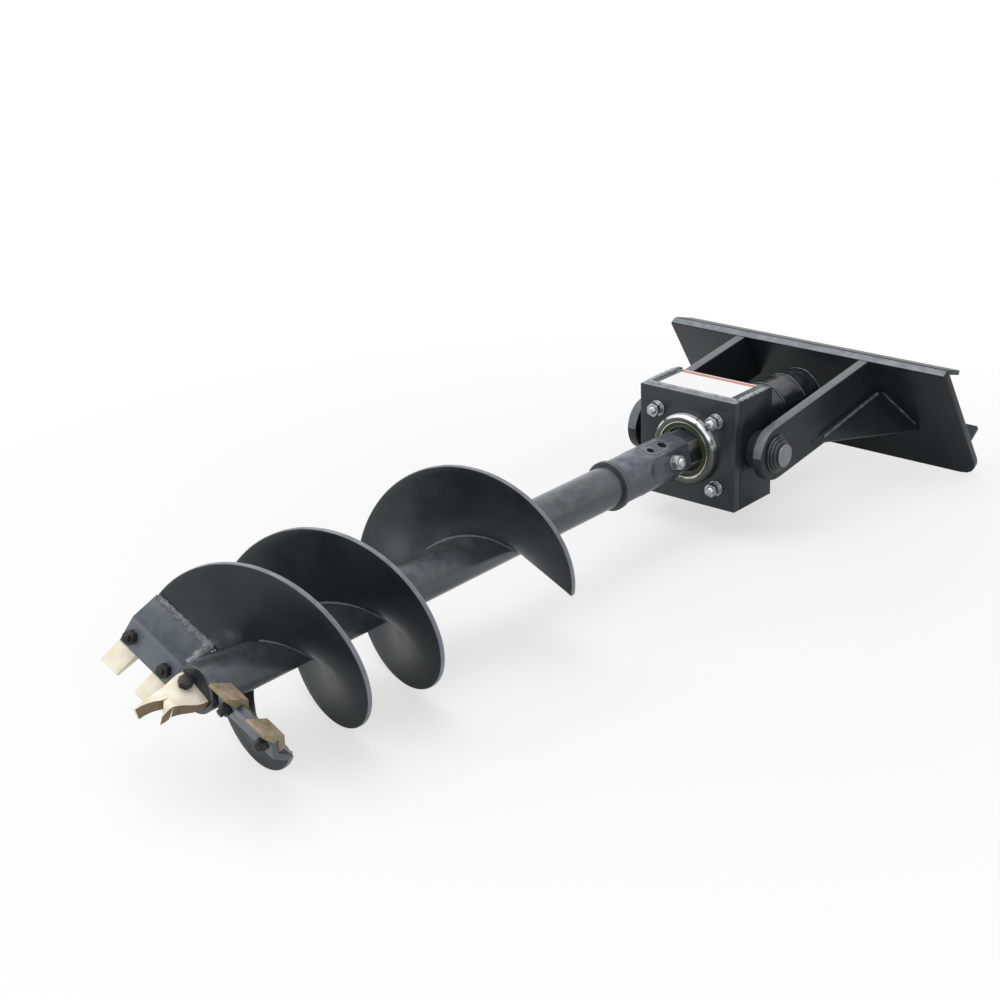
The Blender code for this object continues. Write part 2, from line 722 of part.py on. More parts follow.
def tooth_mesh(out):
    """A cast tooth: a seat behind the holder and a steeper nose that hooks over its edge."""
    half = HOLDER_THICKNESS / 2
    top = half + GAP + TOOTH_THICKNESS
    edge = LEAD_EDGE + LOWER * GAP
    tip = LEAD_EDGE + NOSE * TOOTH_REACH
    back = LEAD_EDGE - LOWER * TOOTH_SEAT
    side_view = [back + raised(LOWER, half + GAP), edge + raised(LOWER, half + GAP),
                 edge - raised(LOWER, half * TOOTH_HOOK_SHARE), tip - raised(NOSE, TOOTH_TIP_THICKNESS / 2),
                 tip + raised(NOSE, TOOTH_TIP_THICKNESS / 2), edge + raised(LOWER, top),
                 back + raised(LOWER, top)]
    place = frame_of(head_point(out, 0, 0), LEADING, FORWARD)
    return plate_mesh([[tuple(point) for point in side_view]], TOOTH_WIDTH, place)


BOLT_SEAT = LEAD_EDGE - LOWER * TOOTH_BOLT_SETBACK
HEAD_NORMAL = LEADING * LOWER.y - FORWARD * LOWER.x
TOOTH_PLACES = (TOOTH_OUTER_PLACE, TOOTH_INNER_PLACE)


def bolt_centre(out):
    return head_point(out, BOLT_SEAT.x, BOLT_SEAT.y)


holder_half = HOLDER_THICKNESS / 2
tooth_top = holder_half + GAP + TOOTH_THICKNESS
bolt_low = -holder_half - GAP - TOOTH_NUT_HEIGHT - HUB_BOLT_END
for name, turned in (("tooth_holder_left", False), ("tooth_holder_right", True)):
    mesh = holder_mesh()
    holes = joined([across_rod(TOOTH_BOLT_RADIUS + GAP, -HOLDER_THICKNESS, HOLDER_THICKNESS,
                               bolt_centre(out), HEAD_NORMAL) for out in TOOTH_PLACES])
    if turned:
        mesh = half_turn(mesh)
        holes = half_turn(holes)
    carve(add(name, mesh, AUGER, PAINT), tool(name + "_holes", holes, AUGER))

for place, out in (("outer", TOOTH_OUTER_PLACE), ("inner", TOOTH_INNER_PLACE)):
    for name, turned in (("left", False), ("right", True)):
        mesh = tooth_mesh(out)
        hole = across_rod(TOOTH_BOLT_RADIUS + GAP, -tooth_top, tooth_top * 2, bolt_centre(out), HEAD_NORMAL)
        if turned:
            mesh = half_turn(mesh)
            hole = half_turn(hole)
        part = add("tooth_{}_{}".format(place, name), mesh, AUGER, YELLOW_ZINC)
        carve(part, tool(part.name + "_hole", hole, AUGER))

for place, out in (("outer", TOOTH_OUTER_PLACE), ("inner", TOOTH_INNER_PLACE)):
    centre = bolt_centre(out)
    turn = Vector((0, 0, 1)).rotation_difference(HEAD_NORMAL).to_matrix().to_4x4()
    line = [(0, tooth_top + GAP + TOOTH_HEAD_HEIGHT), (TOOTH_HEAD_RADIUS, tooth_top + GAP),
            (TOOTH_BOLT_RADIUS, tooth_top + GAP), (TOOTH_BOLT_RADIUS, bolt_low), (0, bolt_low)]
    for name, turned in (("left", False), ("right", True)):
        mesh = turned_mesh(line, Matrix.Translation(centre) @ turn, BOLT_ROUND, False)
        nut = hex_nut(TOOTH_NUT_FLATS, -holder_half - GAP - TOOTH_NUT_HEIGHT, -holder_half - GAP, 0, centre,
                      HEAD_NORMAL)
        if turned:
            mesh = half_turn(mesh)
            nut = half_turn(nut)
        part = add("tooth_bolt_{}_{}".format(place, name), mesh, AUGER, BLACK_BOLT)
        carve(part, tool(part.name + "_nut", nut, AUGER), "UNION")

# Hub


def flat_place(y, direction):
    """A place on the axis whose Z points out of one of the hub's flats and whose Y runs forward."""
    across = FORWARD.cross(direction)
    return frame_of(Vector((0, y, 0)), across, FORWARD)


hub_profile = [(0, HUB_REAR), (HUB_CORNER_RADIUS, HUB_REAR),
               (HUB_CORNER_RADIUS, HUB_REAR - HUB_FLAT_LENGTH),
               (HUB_NECK_RADIUS, HUB_REAR - HUB_FLAT_LENGTH - HUB_NECK_BLEND),
               (HUB_NECK_RADIUS, HUB_NECK_END + GAP),
               (TUBE_RADIUS - TUBE_WALL - GAP, HUB_NECK_END + GAP),
               (TUBE_RADIUS - TUBE_WALL - GAP, HUB_NECK_END - HUB_SPIGOT_LENGTH),
               (0, HUB_NECK_END - HUB_SPIGOT_LENGTH)]
hub = add("auger_hub", turned_mesh(hub_profile, ALONG_Y, ROUND, False, FLIGHT_STEP / 2), AUGER, PAINT)
flats_middle = Matrix.Translation((0, HUB_REAR + OVERRUN - (HUB_FLAT_LENGTH + OVERRUN) / 2, 0)) @ ALONG_Y
carve(hub, tool("hub_flats",
                plate_mesh([circle(HUB_NECK_RADIUS * 2, ROUND), hexagon(HUB_FLATS, HUB_PHASE - math.pi / 2)],
                           HUB_FLAT_LENGTH + OVERRUN, flats_middle), AUGER))
bore_middle = Matrix.Translation((0, HUB_REAR + OVERRUN - (HUB_BORE_DEPTH + OVERRUN) / 2, 0)) @ ALONG_Y
carve(hub, tool("hub_hex_bore",
                plate_mesh([hexagon(SHAFT_HEX_FLATS + GAP * 2, HUB_PHASE - math.pi / 2)],
                           HUB_BORE_DEPTH + OVERRUN, bore_middle), AUGER))
recess_place = flat_place(RECESS_Y, clock(HUB_PHASE))
carve(hub, tool("hub_recess",
                plate_mesh([rectangle(RECESS_WIDTH, RECESS_LENGTH, RECESS_WIDTH / 2)],
                           HUB_FLATS - RECESS_DEPTH * 2,
                           recess_place @ Matrix.Translation((0, 0, HUB_FLATS - RECESS_DEPTH * 2))), AUGER))
for label, side, radius in (("rear", -1, RECESS_HOLE_RADIUS), ("front", 1, RECESS_SMALL_HOLE_RADIUS)):
    start = Vector((0, RECESS_Y, 0)) + FORWARD * side * RECESS_HOLE_SPACING / 2
    carve(hub, tool("hub_hole_" + label,
                    across_rod(radius, SHAFT_HEX_FLATS / 2 - OVERRUN, HUB_FLATS, start, clock(HUB_PHASE),
                               SMALL_ROUND), AUGER))
BOLT_WAY = clock(HUB_PHASE + math.radians(60))
bolt_middle = Vector((0, HUB_BOLT_Y, 0))
carve(hub, tool("hub_bolt_hole",
                across_rod(HUB_BOLT_RADIUS + GAP, -HUB_FLATS, HUB_FLATS, bolt_middle, BOLT_WAY, SMALL_ROUND),
                AUGER))
washer_face = HUB_FLATS / 2 + GAP
nut_face = washer_face + HUB_BOLT_WASHER_THICKNESS
turn_out = Vector((0, 0, 1)).rotation_difference(BOLT_WAY).to_matrix().to_4x4()
bolt_place = Matrix.Translation(bolt_middle) @ turn_out
bolt_line = [(0, nut_face + HUB_NUT_HEIGHT + HUB_BOLT_END),
             (HUB_BOLT_RADIUS, nut_face + HUB_NUT_HEIGHT + HUB_BOLT_END),
             (HUB_BOLT_RADIUS, -washer_face), (HUB_BOLT_WASHER_RADIUS, -washer_face),
             (HUB_BOLT_WASHER_RADIUS, -nut_face), (0, -nut_face)]
hub_bolt = add("hub_bolt", turned_mesh(bolt_line, bolt_place, SMALL_ROUND, False), AUGER, ZINC)
carve(hub_bolt, tool("hub_bolt_head",
                     hex_nut(HUB_NUT_FLATS, -nut_face - HUB_BOLT_HEAD_HEIGHT, -nut_face + GAP, 0, bolt_middle,
                             BOLT_WAY), AUGER), "UNION")
hub_nut = add("hub_bolt_nut",
              hex_nut(HUB_NUT_FLATS, nut_face - GAP, nut_face + HUB_NUT_HEIGHT, HUB_BOLT_RADIUS + GAP,
                      bolt_middle, BOLT_WAY), AUGER, ZINC)
carve(hub_nut, tool("hub_nut_washer",
                    ring_mesh(HUB_BOLT_WASHER_RADIUS, HUB_BOLT_RADIUS + GAP * 2, washer_face, nut_face,
                              bolt_place, SMALL_ROUND), AUGER), "UNION")

# Output shaft

shaft_front = HUB_REAR - HUB_BORE_DEPTH + OVERRUN
shaft_profile = [(0, SHAFT_REAR), (SHAFT_THREAD_RADIUS, SHAFT_REAR),
                 (SHAFT_THREAD_RADIUS, BEARING_REAR_Y + BEARING_WIDTH),
                 (BEARING_JOURNAL_RADIUS, BEARING_REAR_Y + BEARING_WIDTH),
                 (BEARING_JOURNAL_RADIUS, BEARING_FRONT_Y - GAP),
                 (SEAL_JOURNAL_RADIUS, BEARING_FRONT_Y - GAP),
                 (SEAL_JOURNAL_RADIUS, SHAFT_SHOULDER_REAR - OVERRUN),
                 (0, SHAFT_SHOULDER_REAR - OVERRUN)]
shaft = add("output_shaft", turned_mesh(shaft_profile, ALONG_Y, ROUND, False), AUGER, GROUND_STEEL)


def hex_bar(flats, low, high):
    place = Matrix.Translation((0, (low + high) / 2, 0)) @ ALONG_Y
    return plate_mesh([hexagon(flats, HUB_PHASE - math.pi / 2)], high - low, place)


carve(shaft, tool("shaft_shoulder",
                  hex_bar(SHAFT_SHOULDER_FLATS, HUB_REAR + GAP, SHAFT_SHOULDER_REAR), AUGER), "UNION")
carve(shaft, tool("shaft_hex", hex_bar(SHAFT_HEX_FLATS, shaft_front, HUB_REAR + OVERRUN), AUGER), "UNION")
carve(shaft, tool("shaft_coupling_bore",
                  rod_mesh(COUPLING_RADIUS + GAP, COUPLING_FRONT - GAP * 2, SHAFT_REAR + OVERRUN, ALONG_Y),
                  AUGER))
carve(shaft, tool("shaft_bolt_hole",
                  across_rod(HUB_BOLT_RADIUS + GAP, -HUB_FLATS, HUB_FLATS, bolt_middle, BOLT_WAY,
                             SMALL_ROUND), AUGER))
add("drive_coupling", rod_mesh(COUPLING_RADIUS, COUPLING_FRONT, COUPLING_REAR, ALONG_Y), AUGER, BARE_STEEL)

# Taper roller bearings: the rollers' large ends face outwards


def bearing(name, low, sign):
    """Cone and rollers turn with the shaft. The cup stays in the housing."""
    middle = low + BEARING_WIDTH / 2
    place = Matrix.Translation((0, middle, 0)) @ ALONG_Y @ Matrix.Diagonal((1, 1, sign, 1))
    lean = math.tan(ROLLER_TILT)
    half = BEARING_WIDTH / 2
    clear = ROLLER_RADIUS / math.cos(ROLLER_TILT) + ROLLER_FLOAT
    bore = BEARING_JOURNAL_RADIUS + GAP
    cone = [(ROLLER_CIRCLE - clear + half * lean, half), (ROLLER_CIRCLE - clear - half * lean, -half),
            (bore, -half), (bore, half)]
    widen = 1 / math.cos(math.pi / ROUND)
    cup = [(BEARING_OUTER_RADIUS, half), (BEARING_OUTER_RADIUS, -half),
           ((ROLLER_CIRCLE + clear - half * lean) * widen, -half),
           ((ROLLER_CIRCLE + clear + half * lean) * widen, half)]
    rollers = []
    for k in range(BEARING_ROLLERS):
        roller = rod_mesh(ROLLER_RADIUS, -ROLLER_LENGTH / 2, ROLLER_LENGTH / 2,
                          Matrix.Translation((ROLLER_CIRCLE, 0, 0)) @ Matrix.Rotation(ROLLER_TILT, 4, "Y"),
                          ROLLER_ROUND)
        roller.transform(place @ Matrix.Rotation(math.tau * k / BEARING_ROLLERS, 4, "Z"))
        if sign < 0:
            roller.flip_normals()
        rollers.append(roller)
    cage = [(ROLLER_CIRCLE + CAGE_THICKNESS / 2 + CAGE_LENGTH / 2 * lean, CAGE_LENGTH / 2),
            (ROLLER_CIRCLE + CAGE_THICKNESS / 2 - CAGE_LENGTH / 2 * lean, -CAGE_LENGTH / 2),
            (ROLLER_CIRCLE - CAGE_THICKNESS / 2 - CAGE_LENGTH / 2 * lean, -CAGE_LENGTH / 2),
            (ROLLER_CIRCLE - CAGE_THICKNESS / 2 + CAGE_LENGTH / 2 * lean, CAGE_LENGTH / 2)]
    cage_mesh = turned_mesh(cage, place)
    cone_mesh = turned_mesh(cone, place)
    cup_mesh = turned_mesh(cup, place)
    if sign < 0:
        cage_mesh.flip_normals()
        cone_mesh.flip_normals()
        cup_mesh.flip_normals()
    add(name + "_bearing_cone", cone_mesh, AUGER, GROUND_STEEL)
    caged = add(name + "_bearing_rollers", cage_mesh, AUGER, GROUND_STEEL)
    carve(caged, tool(name + "_rollers", joined(rollers), AUGER), "UNION")
    add(name + "_bearing_cup", cup_mesh, DRIVE, GROUND_STEEL)


bearing("front", BEARING_FRONT_Y, -1)
bearing("rear", BEARING_REAR_Y, 1)
lock_front = BEARING_REAR_Y + BEARING_WIDTH + GAP
add("shaft_lock_nut",
    ring_mesh(LOCKNUT_RADIUS, SHAFT_THREAD_RADIUS + GAP, lock_front, lock_front + LOCKNUT_THICKNESS, ALONG_Y),
    AUGER, BLACK_BOLT)

# Bearing housing and shaft seal

nose = [(NOSE_INNER_RADIUS, -NOSE_LENGTH)]
for k in range(ARC_STEPS + 1):
    angle = math.pi / 2 * k / ARC_STEPS
    nose.append((NOSE_RADIUS - NOSE_ROUNDING + NOSE_ROUNDING * math.sin(angle),
                 -NOSE_LENGTH + NOSE_ROUNDING - NOSE_ROUNDING * math.cos(angle)))
flange_front = FRONT_PLATE_THICKNESS + GAP
flange_rear = flange_front + HOUSING_FLANGE_THICKNESS
flange_middle = (flange_front + flange_rear) / 2
shoulder_radius = BEARING_OUTER_RADIUS - HOUSING_SHOULDER
seat = BEARING_OUTER_RADIUS + GAP
housing_profile = nose + [(NOSE_RADIUS, flange_middle), (HOUSING_BARREL_RADIUS, flange_middle),
                          (HOUSING_BARREL_RADIUS, HOUSING_REAR), (seat, HOUSING_REAR),
                          (seat, BEARING_REAR_Y - GAP), (shoulder_radius, BEARING_REAR_Y - GAP),
                          (shoulder_radius, BEARING_FRONT_Y + BEARING_WIDTH + GAP),
                          (NOSE_INNER_RADIUS, BEARING_FRONT_Y + BEARING_WIDTH + GAP)]
housing_profile.reverse()
housing = add("bearing_housing", turned_mesh(housing_profile, ALONG_Y, FINE_ROUND), DRIVE, GROUND_STEEL)
flange_place = Matrix.Translation((0, flange_middle, 0)) @ ALONG_Y
carve(housing, tool("housing_flange",
                    plate_mesh([rectangle(HOUSING_FLANGE, HOUSING_FLANGE),
                                circle((HOUSING_BARREL_RADIUS + seat) / 2, FINE_ROUND)],
                               HOUSING_FLANGE_THICKNESS, flange_place), DRIVE), "UNION")
STUD_PLACES = [(side * STUD_REACH, end * STUD_REACH) for side in (-1, 1) for end in (-1, 1)]


def along_rods(radius, places, low, high, steps=SMALL_ROUND):
    return joined([rod_mesh(radius, low, high, Matrix.Translation((x, 0, z)) @ ALONG_Y, steps)
                   for x, z in places])


carve(housing, tool("housing_stud_holes",
                    along_rods(STUD_RADIUS + GAP, STUD_PLACES, flange_front - OVERRUN, flange_rear + OVERRUN),
                    DRIVE))
add("seal_carrier",
    ring_mesh(NOSE_INNER_RADIUS - GAP * 2, SEAL_CARRIER_INNER, SEAL_CARRIER_FRONT, SEAL_CARRIER_REAR, ALONG_Y,
              FINE_ROUND), DRIVE, OLIVE_ZINC)
add("shaft_seal",
    ring_mesh(SEAL_CARRIER_INNER - GAP, SEAL_INNER_RADIUS + GAP, SEAL_CARRIER_FRONT + SEAL_SETBACK,
              SEAL_CARRIER_FRONT + SEAL_SETBACK + SEAL_WIDTH, ALONG_Y, FINE_ROUND), DRIVE, RUBBER)

# Drive box


def upright_plate(low, high, outlines):
    """Outlines in X and Z, between two distances along the axis."""
    place = Matrix.Translation((0, (low + high) / 2, 0)) @ ALONG_Y
    return plate_mesh(outlines, high - low, place)


front = add("box_front_plate",
            upright_plate(0, FRONT_PLATE_THICKNESS,
                          [rectangle(BOX_WIDTH, BOX_WIDTH), circle(NOSE_RADIUS + GAP * 2, FINE_ROUND)]),
            DRIVE, PAINT)
carve(front, tool("front_plate_stud_holes",
                  along_rods(STUD_RADIUS + GAP, STUD_PLACES, -OVERRUN, FRONT_PLATE_THICKNESS + OVERRUN),
                  DRIVE))
for name, side in (("left", -1), ("right", 1)):
    inner = side * HALF_INSIDE
    outer = side * HALF_BOX
    plate = add("box_side_plate_" + name,
                box_mesh((min(inner, outer), FRONT_PLATE_THICKNESS + GAP, -HALF_BOX),
                         (max(inner, outer), SIDE_PLATE_REAR, HALF_BOX)), DRIVE, PAINT)
    carve(plate, tool("pin_hole_" + name,
                      across_rod(PIN_RADIUS + GAP, -BOX_WALL, BOX_WALL,
                                 PIVOT + Vector((side * (HALF_BOX - BOX_WALL / 2), 0, 0)), Vector((1, 0, 0)),
                                 ROUND), DRIVE))
add("box_top_plate",
    box_mesh((-HALF_INSIDE + GAP, FRONT_PLATE_THICKNESS + GAP, HALF_INSIDE),
             (HALF_INSIDE - GAP, TOP_PLATE_REAR, HALF_BOX)), DRIVE, PAINT)
add("box_bottom_plate",
    box_mesh((-HALF_INSIDE + GAP, FRONT_PLATE_THICKNESS + GAP, -HALF_BOX),
             (HALF_INSIDE - GAP, TOP_PLATE_REAR, -HALF_INSIDE)), DRIVE, PAINT)
rear_face = REAR_PLATE_FRONT + REAR_PLATE_THICKNESS
rear_width = (HALF_INSIDE - GAP) * 2
add("box_rear_plate",
    upright_plate(REAR_PLATE_FRONT, rear_face,
                  [rectangle(rear_width, rear_width), circle(REAR_BORE_RADIUS, ROUND)]), DRIVE, PAINT)

# Studs, each with its flat washer, spring washer and nut

washer_front = -GAP - STUD_WASHER_THICKNESS
spring_front = washer_front - SPRING_WASHER_THICKNESS
stud_line = [(0, flange_rear), (STUD_RADIUS, flange_rear), (STUD_RADIUS, -GAP), (STUD_WASHER_RADIUS, -GAP),
             (STUD_WASHER_RADIUS, washer_front), (SPRING_WASHER_RADIUS, washer_front),
             (SPRING_WASHER_RADIUS, spring_front), (STUD_RADIUS, spring_front), (STUD_RADIUS, STUD_END),
             (0, STUD_END)]
for name, (x, z) in zip(("bottom_left", "top_left", "bottom_right", "top_right"), STUD_PLACES):
    place = Matrix.Translation((x, 0, z)) @ ALONG_Y
    part = add("housing_stud_" + name, turned_mesh(stud_line, place, SMALL_ROUND, False), DRIVE, ZINC)
    slit = box_mesh((x - SPRING_WASHER_SLIT / 2, spring_front, z + STUD_RADIUS + GAP),
                    (x + SPRING_WASHER_SLIT / 2, washer_front, z + STUD_WASHER_RADIUS))
    carve(part, tool(part.name + "_slit", slit, DRIVE))
    nut = plate_mesh([hexagon(STUD_NUT_FLATS)], STUD_NUT_HEIGHT,
                     Matrix.Translation((x, spring_front - STUD_NUT_HEIGHT / 2, z)) @ ALONG_Y)
    carve(part, tool(part.name + "_nut", nut, DRIVE), "UNION")

# Motor

flange_low = rear_face + GAP
flange_high = flange_low + MOTOR_FLANGE_THICKNESS
motor_profile = [(0, MOTOR_BODY_REAR), (MOTOR_BODY_RADIUS, MOTOR_BODY_REAR),
                 (MOTOR_BODY_RADIUS, flange_low + GAP), (MOTOR_PILOT_RADIUS, flange_low + GAP),
                 (MOTOR_PILOT_RADIUS, rear_face - MOTOR_PILOT_LENGTH), (0, rear_face - MOTOR_PILOT_LENGTH)]
motor = add("motor_front_housing", turned_mesh(motor_profile, ALONG_Y, ROUND, False), DRIVE, PAINT)
carve(motor, tool("motor_flange",
                  upright_plate(flange_low, flange_high,
                                [rectangle(MOTOR_FLANGE_WIDTH, MOTOR_FLANGE_WIDTH, MOTOR_FLANGE_CORNER)]),
                  DRIVE), "UNION")
carve(motor, tool("motor_shaft_bore",
                  rod_mesh(MOTOR_SHAFT_BORE, rear_face - MOTOR_PILOT_LENGTH - OVERRUN,
                           flange_low + MOTOR_SHAFT_DEPTH, ALONG_Y), DRIVE))
add("motor_gear_ring",
    upright_plate(MOTOR_BODY_REAR + GAP, MOTOR_RING_REAR, [circle(MOTOR_RING_RADIUS, ROUND)]), DRIVE,
    GROUND_STEEL)
add("motor_end_cover",
    upright_plate(MOTOR_RING_REAR + GAP, MOTOR_COVER_REAR, [circle(MOTOR_RING_RADIUS, ROUND)]), DRIVE, PAINT)

wrap_outer = [(WRAP_FLARE_RADIUS, WRAP_FRONT),
              (WRAP_FLARE_RADIUS * (1 - WRAP_SAG_SHARE) + WRAP_RADIUS * WRAP_SAG_SHARE,
               (WRAP_FRONT + WRAP_FLARE_REAR) / 2),
              (WRAP_RADIUS, WRAP_FLARE_REAR)]
for y in (MOTOR_BODY_REAR, MOTOR_RING_REAR):
    wrap_outer += [(WRAP_RADIUS, y - WRAP_RIDGE_LENGTH), (WRAP_RADIUS + WRAP_RIDGE, y),
                   (WRAP_RADIUS, y + WRAP_RIDGE_LENGTH)]
wrap_outer += [(WRAP_RADIUS, WRAP_REAR - WRAP_REAR_ROUNDING), (WRAP_RADIUS - WRAP_REAR_ROUNDING, WRAP_REAR)]
wrap_inner = [(radius - WRAP_THICKNESS, y) for radius, y in wrap_outer[:3]]
wrap_inner.append((WRAP_RADIUS - WRAP_THICKNESS, WRAP_REAR - WRAP_REAR_ROUNDING))
wrap_inner.append((WRAP_RADIUS - WRAP_REAR_ROUNDING - WRAP_THICKNESS, WRAP_REAR - WRAP_THICKNESS))
wrap_profile = [(0, WRAP_REAR)] + wrap_outer[::-1] + wrap_inner + [(0, WRAP_REAR - WRAP_THICKNESS)]
add("motor_film_wrap", turned_mesh(wrap_profile, ALONG_Y, ROUND, False), DRIVE, FILM)

# Swing joint: trunnions on the box, bushes in the arms, stepped friction collars outside


def side_ring(outer, inner, low, high, side, steps=ROUND):
    place = Matrix.Translation(PIVOT) @ ALONG_X
    if side < 0:
        low, high = -high, -low
    return ring_mesh(outer, inner, low, high, place, steps)


for name, side in (("left", -1), ("right", 1)):
    place = Matrix.Translation(PIVOT) @ ALONG_X
    if side < 0:
        place = place @ Matrix.Rotation(math.pi, 4, "Y")
    pin = [(0, PIN_END), (PIN_RADIUS - PIN_CHAMFER, PIN_END), (PIN_RADIUS, PIN_END - PIN_CHAMFER),
           (PIN_RADIUS, ARM_INNER - GAP * 2), (BOSS_RADIUS, ARM_INNER - GAP * 2),
           (BOSS_RADIUS, HALF_BOX + GAP),
           (PIN_RADIUS, HALF_BOX + GAP), (PIN_RADIUS, PIN_ROOT), (0, PIN_ROOT)]
    add("trunnion_" + name, turned_mesh(pin, place, ROUND, False), DRIVE, GROUND_STEEL)
    add("pivot_bush_" + name,
        side_ring(PIN_RADIUS + BUSH_WALL, (PIN_RADIUS + GAP) / math.cos(math.pi / ROUND), ARM_INNER,
                  ARM_OUTER, side), FRAME, BRONZE)
    steps = [(PIN_RADIUS + GAP, ARM_OUTER + GAP)]
    for k, radius in enumerate(COLLAR_STEP_RADII):
        steps.append((radius, ARM_OUTER + GAP + COLLAR_STEP * k))
        steps.append((radius, ARM_OUTER + GAP + COLLAR_STEP * (k + 1)))
    steps.append((PIN_RADIUS + GAP, ARM_OUTER + GAP + COLLAR_STEP * len(COLLAR_STEP_RADII)))
    add("friction_collar_" + name, turned_mesh(steps[::-1], place, ROUND), DRIVE, BARE_STEEL)

# Arms


def side_plate(outlines, low, high):
    """Outlines in Y and Z, between two distances to the right."""
    place = frame_of(Vector(((low + high) / 2, 0, 0)), Vector((0, 1, 0)), Vector((0, 0, 1)))
    return plate_mesh(outlines, high - low, place)


def on_plate(edge_point, edge_way):
    """Where a line in the YZ plane meets the plate's front face, one gap short of it."""
    reach = PLATE_BACK.dot(PLATE_TOP - PLATE_BACK * GAP - edge_point) / PLATE_BACK.dot(edge_way)
    return edge_point + edge_way * reach


arm_way = Vector((0, math.cos(ARM_RISE), math.sin(ARM_RISE)))
arm_up = Vector((0, -math.sin(ARM_RISE), math.cos(ARM_RISE)))
upper_end = on_plate(PIVOT + arm_up * ARM_END_RADIUS, arm_way)
lower_end = on_plate(PIVOT - arm_up * ARM_END_RADIUS, arm_way)
arm_line = []
for k in range(ROUND // 2 + 1):
    angle = math.pi * k / (ROUND // 2)
    arm_line.append(PIVOT + (arm_up * math.cos(angle) - arm_way * math.sin(angle)) * ARM_END_RADIUS)
arm_line += [lower_end, upper_end]
arm_outline = [(point.y, point.z) for point in arm_line]
bush_hole = circle(PIN_RADIUS + BUSH_WALL + GAP, ROUND, (PIVOT_Y, 0))
for name, side in (("left", -1), ("right", 1)):
    low = side * ARM_INNER
    high = side * ARM_OUTER
    add("hitch_arm_" + name, side_plate([arm_outline, bush_hole], min(low, high), max(low, high)), FRAME,
        PAINT)

# Hitch plate


def plate_place(down, back):
    """A place in the plate: X across, Y down its face, at a depth behind its front face."""
    return frame_of(PLATE_TOP + PLATE_DOWN * down + PLATE_BACK * back, Vector((1, 0, 0)), PLATE_DOWN)


def plate_outline():
    """Top corners nearly square and bottom corners round, with Y measured down from the top edge."""
    points = []
    corners = ((1, 0, PLATE_TOP_CORNER), (1, 1, PLATE_BOTTOM_CORNER), (-1, 1, PLATE_BOTTOM_CORNER),
               (-1, 0, PLATE_TOP_CORNER))
    for quarter, (side, end, radius) in enumerate(corners):
        middle = (side * (PLATE_WIDTH / 2 - radius), end * PLATE_HEIGHT + (radius if end == 0 else -radius))
        for k in range(ARC_STEPS + 1):
            angle = -math.pi / 2 + (quarter + k / ARC_STEPS) * math.pi / 2
            points.append((middle[0] + radius * math.cos(angle), middle[1] + radius * math.sin(angle)))
    return points


add("hitch_plate", plate_mesh([plate_outline()], PLATE_THICKNESS, plate_place(0, PLATE_THICKNESS / 2)), FRAME,
    PAINT)


def across_strip(points, width):
    """A side view in the plate's own down and back directions, extruded across the plate."""
    place = frame_of(PLATE_TOP, PLATE_DOWN, PLATE_BACK)
    return plate_mesh([points], width, place)


hook_way = Vector((math.sin(HOOK_ANGLE), math.cos(HOOK_ANGLE)))
hook_up = Vector((-math.cos(HOOK_ANGLE), math.sin(HOOK_ANGLE)))
hook_root = Vector((HOOK_ROOT_DROP, PLATE_THICKNESS + GAP))
hook_line = [hook_root, hook_root + hook_way * HOOK_DEPTH,
             hook_root + (hook_way * HOOK_DEPTH + hook_up * HOOK_THICKNESS),
             Vector((hook_root.x - HOOK_THICKNESS / math.cos(HOOK_ANGLE), hook_root.y))]
add("hitch_hook_lip", across_strip([tuple(point) for point in hook_line], HOOK_WIDTH), FRAME, PAINT)

ledge_top = PLATE_HEIGHT - LEDGE_HEIGHT
ledge = add("hitch_lower_ledge",
            across_strip([(ledge_top - LEDGE_THICKNESS / 2, PLATE_THICKNESS + GAP),
                          (ledge_top + LEDGE_THICKNESS / 2, PLATE_THICKNESS + GAP),
                          (ledge_top + LEDGE_THICKNESS / 2, PLATE_THICKNESS + GAP + LEDGE_DEPTH),
                          (ledge_top - LEDGE_THICKNESS / 2, PLATE_THICKNESS + GAP + LEDGE_DEPTH)],
                         LEDGE_WIDTH), FRAME, PAINT)
slots = []
for side in (-1, 1):
    centre = (PLATE_TOP + PLATE_DOWN * ledge_top + PLATE_BACK * (PLATE_THICKNESS + GAP + LOCK_SLOT_SETBACK)
              + Vector((side * LOCK_SLOT_SPACING / 2, 0, 0)))
    slots.append(plate_mesh([rectangle(LOCK_SLOT_LENGTH, LOCK_SLOT_WIDTH, LOCK_SLOT_WIDTH / 2)],
                            LEDGE_THICKNESS + OVERRUN * 2,
                            frame_of(centre, Vector((1, 0, 0)), PLATE_BACK)))
carve(ledge, tool("lock_slots", joined(slots), FRAME))

# Gussets between the arms and the plate

front_point = Vector((ARM_OUTER, *GUSSET_FRONT))
rear_point = Vector((ARM_OUTER, *GUSSET_REAR))
outer_point = Vector((ARM_OUTER + GUSSET_REACH, *GUSSET_OUTER))
gusset_middle = (front_point + rear_point + outer_point) / 3
gusset_place = frame_of(gusset_middle, rear_point - front_point, outer_point - front_point)
to_local = gusset_place.inverted()
corners = [front_point, outer_point, rear_point]
spread = [gusset_middle + (corner - gusset_middle) * GUSSET_SPREAD_SHARE for corner in corners]


def gusset_mesh():
    """A triangle, a little larger than it ends up, that is then cut along the arm and the plate."""
    outline = [tuple((to_local @ corner).xy) for corner in spread]
    return plate_mesh([outline], GUSSET_THICKNESS, gusset_place)


def gusset_trim():
    """The room taken by the arm and the plate."""
    arm_room = box_mesh((0, 0, -PLATE_HEIGHT), (ARM_OUTER + GAP, PLATE_TOP_Y + PLATE_HEIGHT, PLATE_HEIGHT))
    plate_room = box_mesh((-PLATE_WIDTH, -PLATE_HEIGHT, -GAP), (PLATE_WIDTH, PLATE_HEIGHT * 2, PLATE_HEIGHT),
                          frame_of(PLATE_TOP, Vector((1, 0, 0)), PLATE_DOWN))
    return arm_room, plate_room


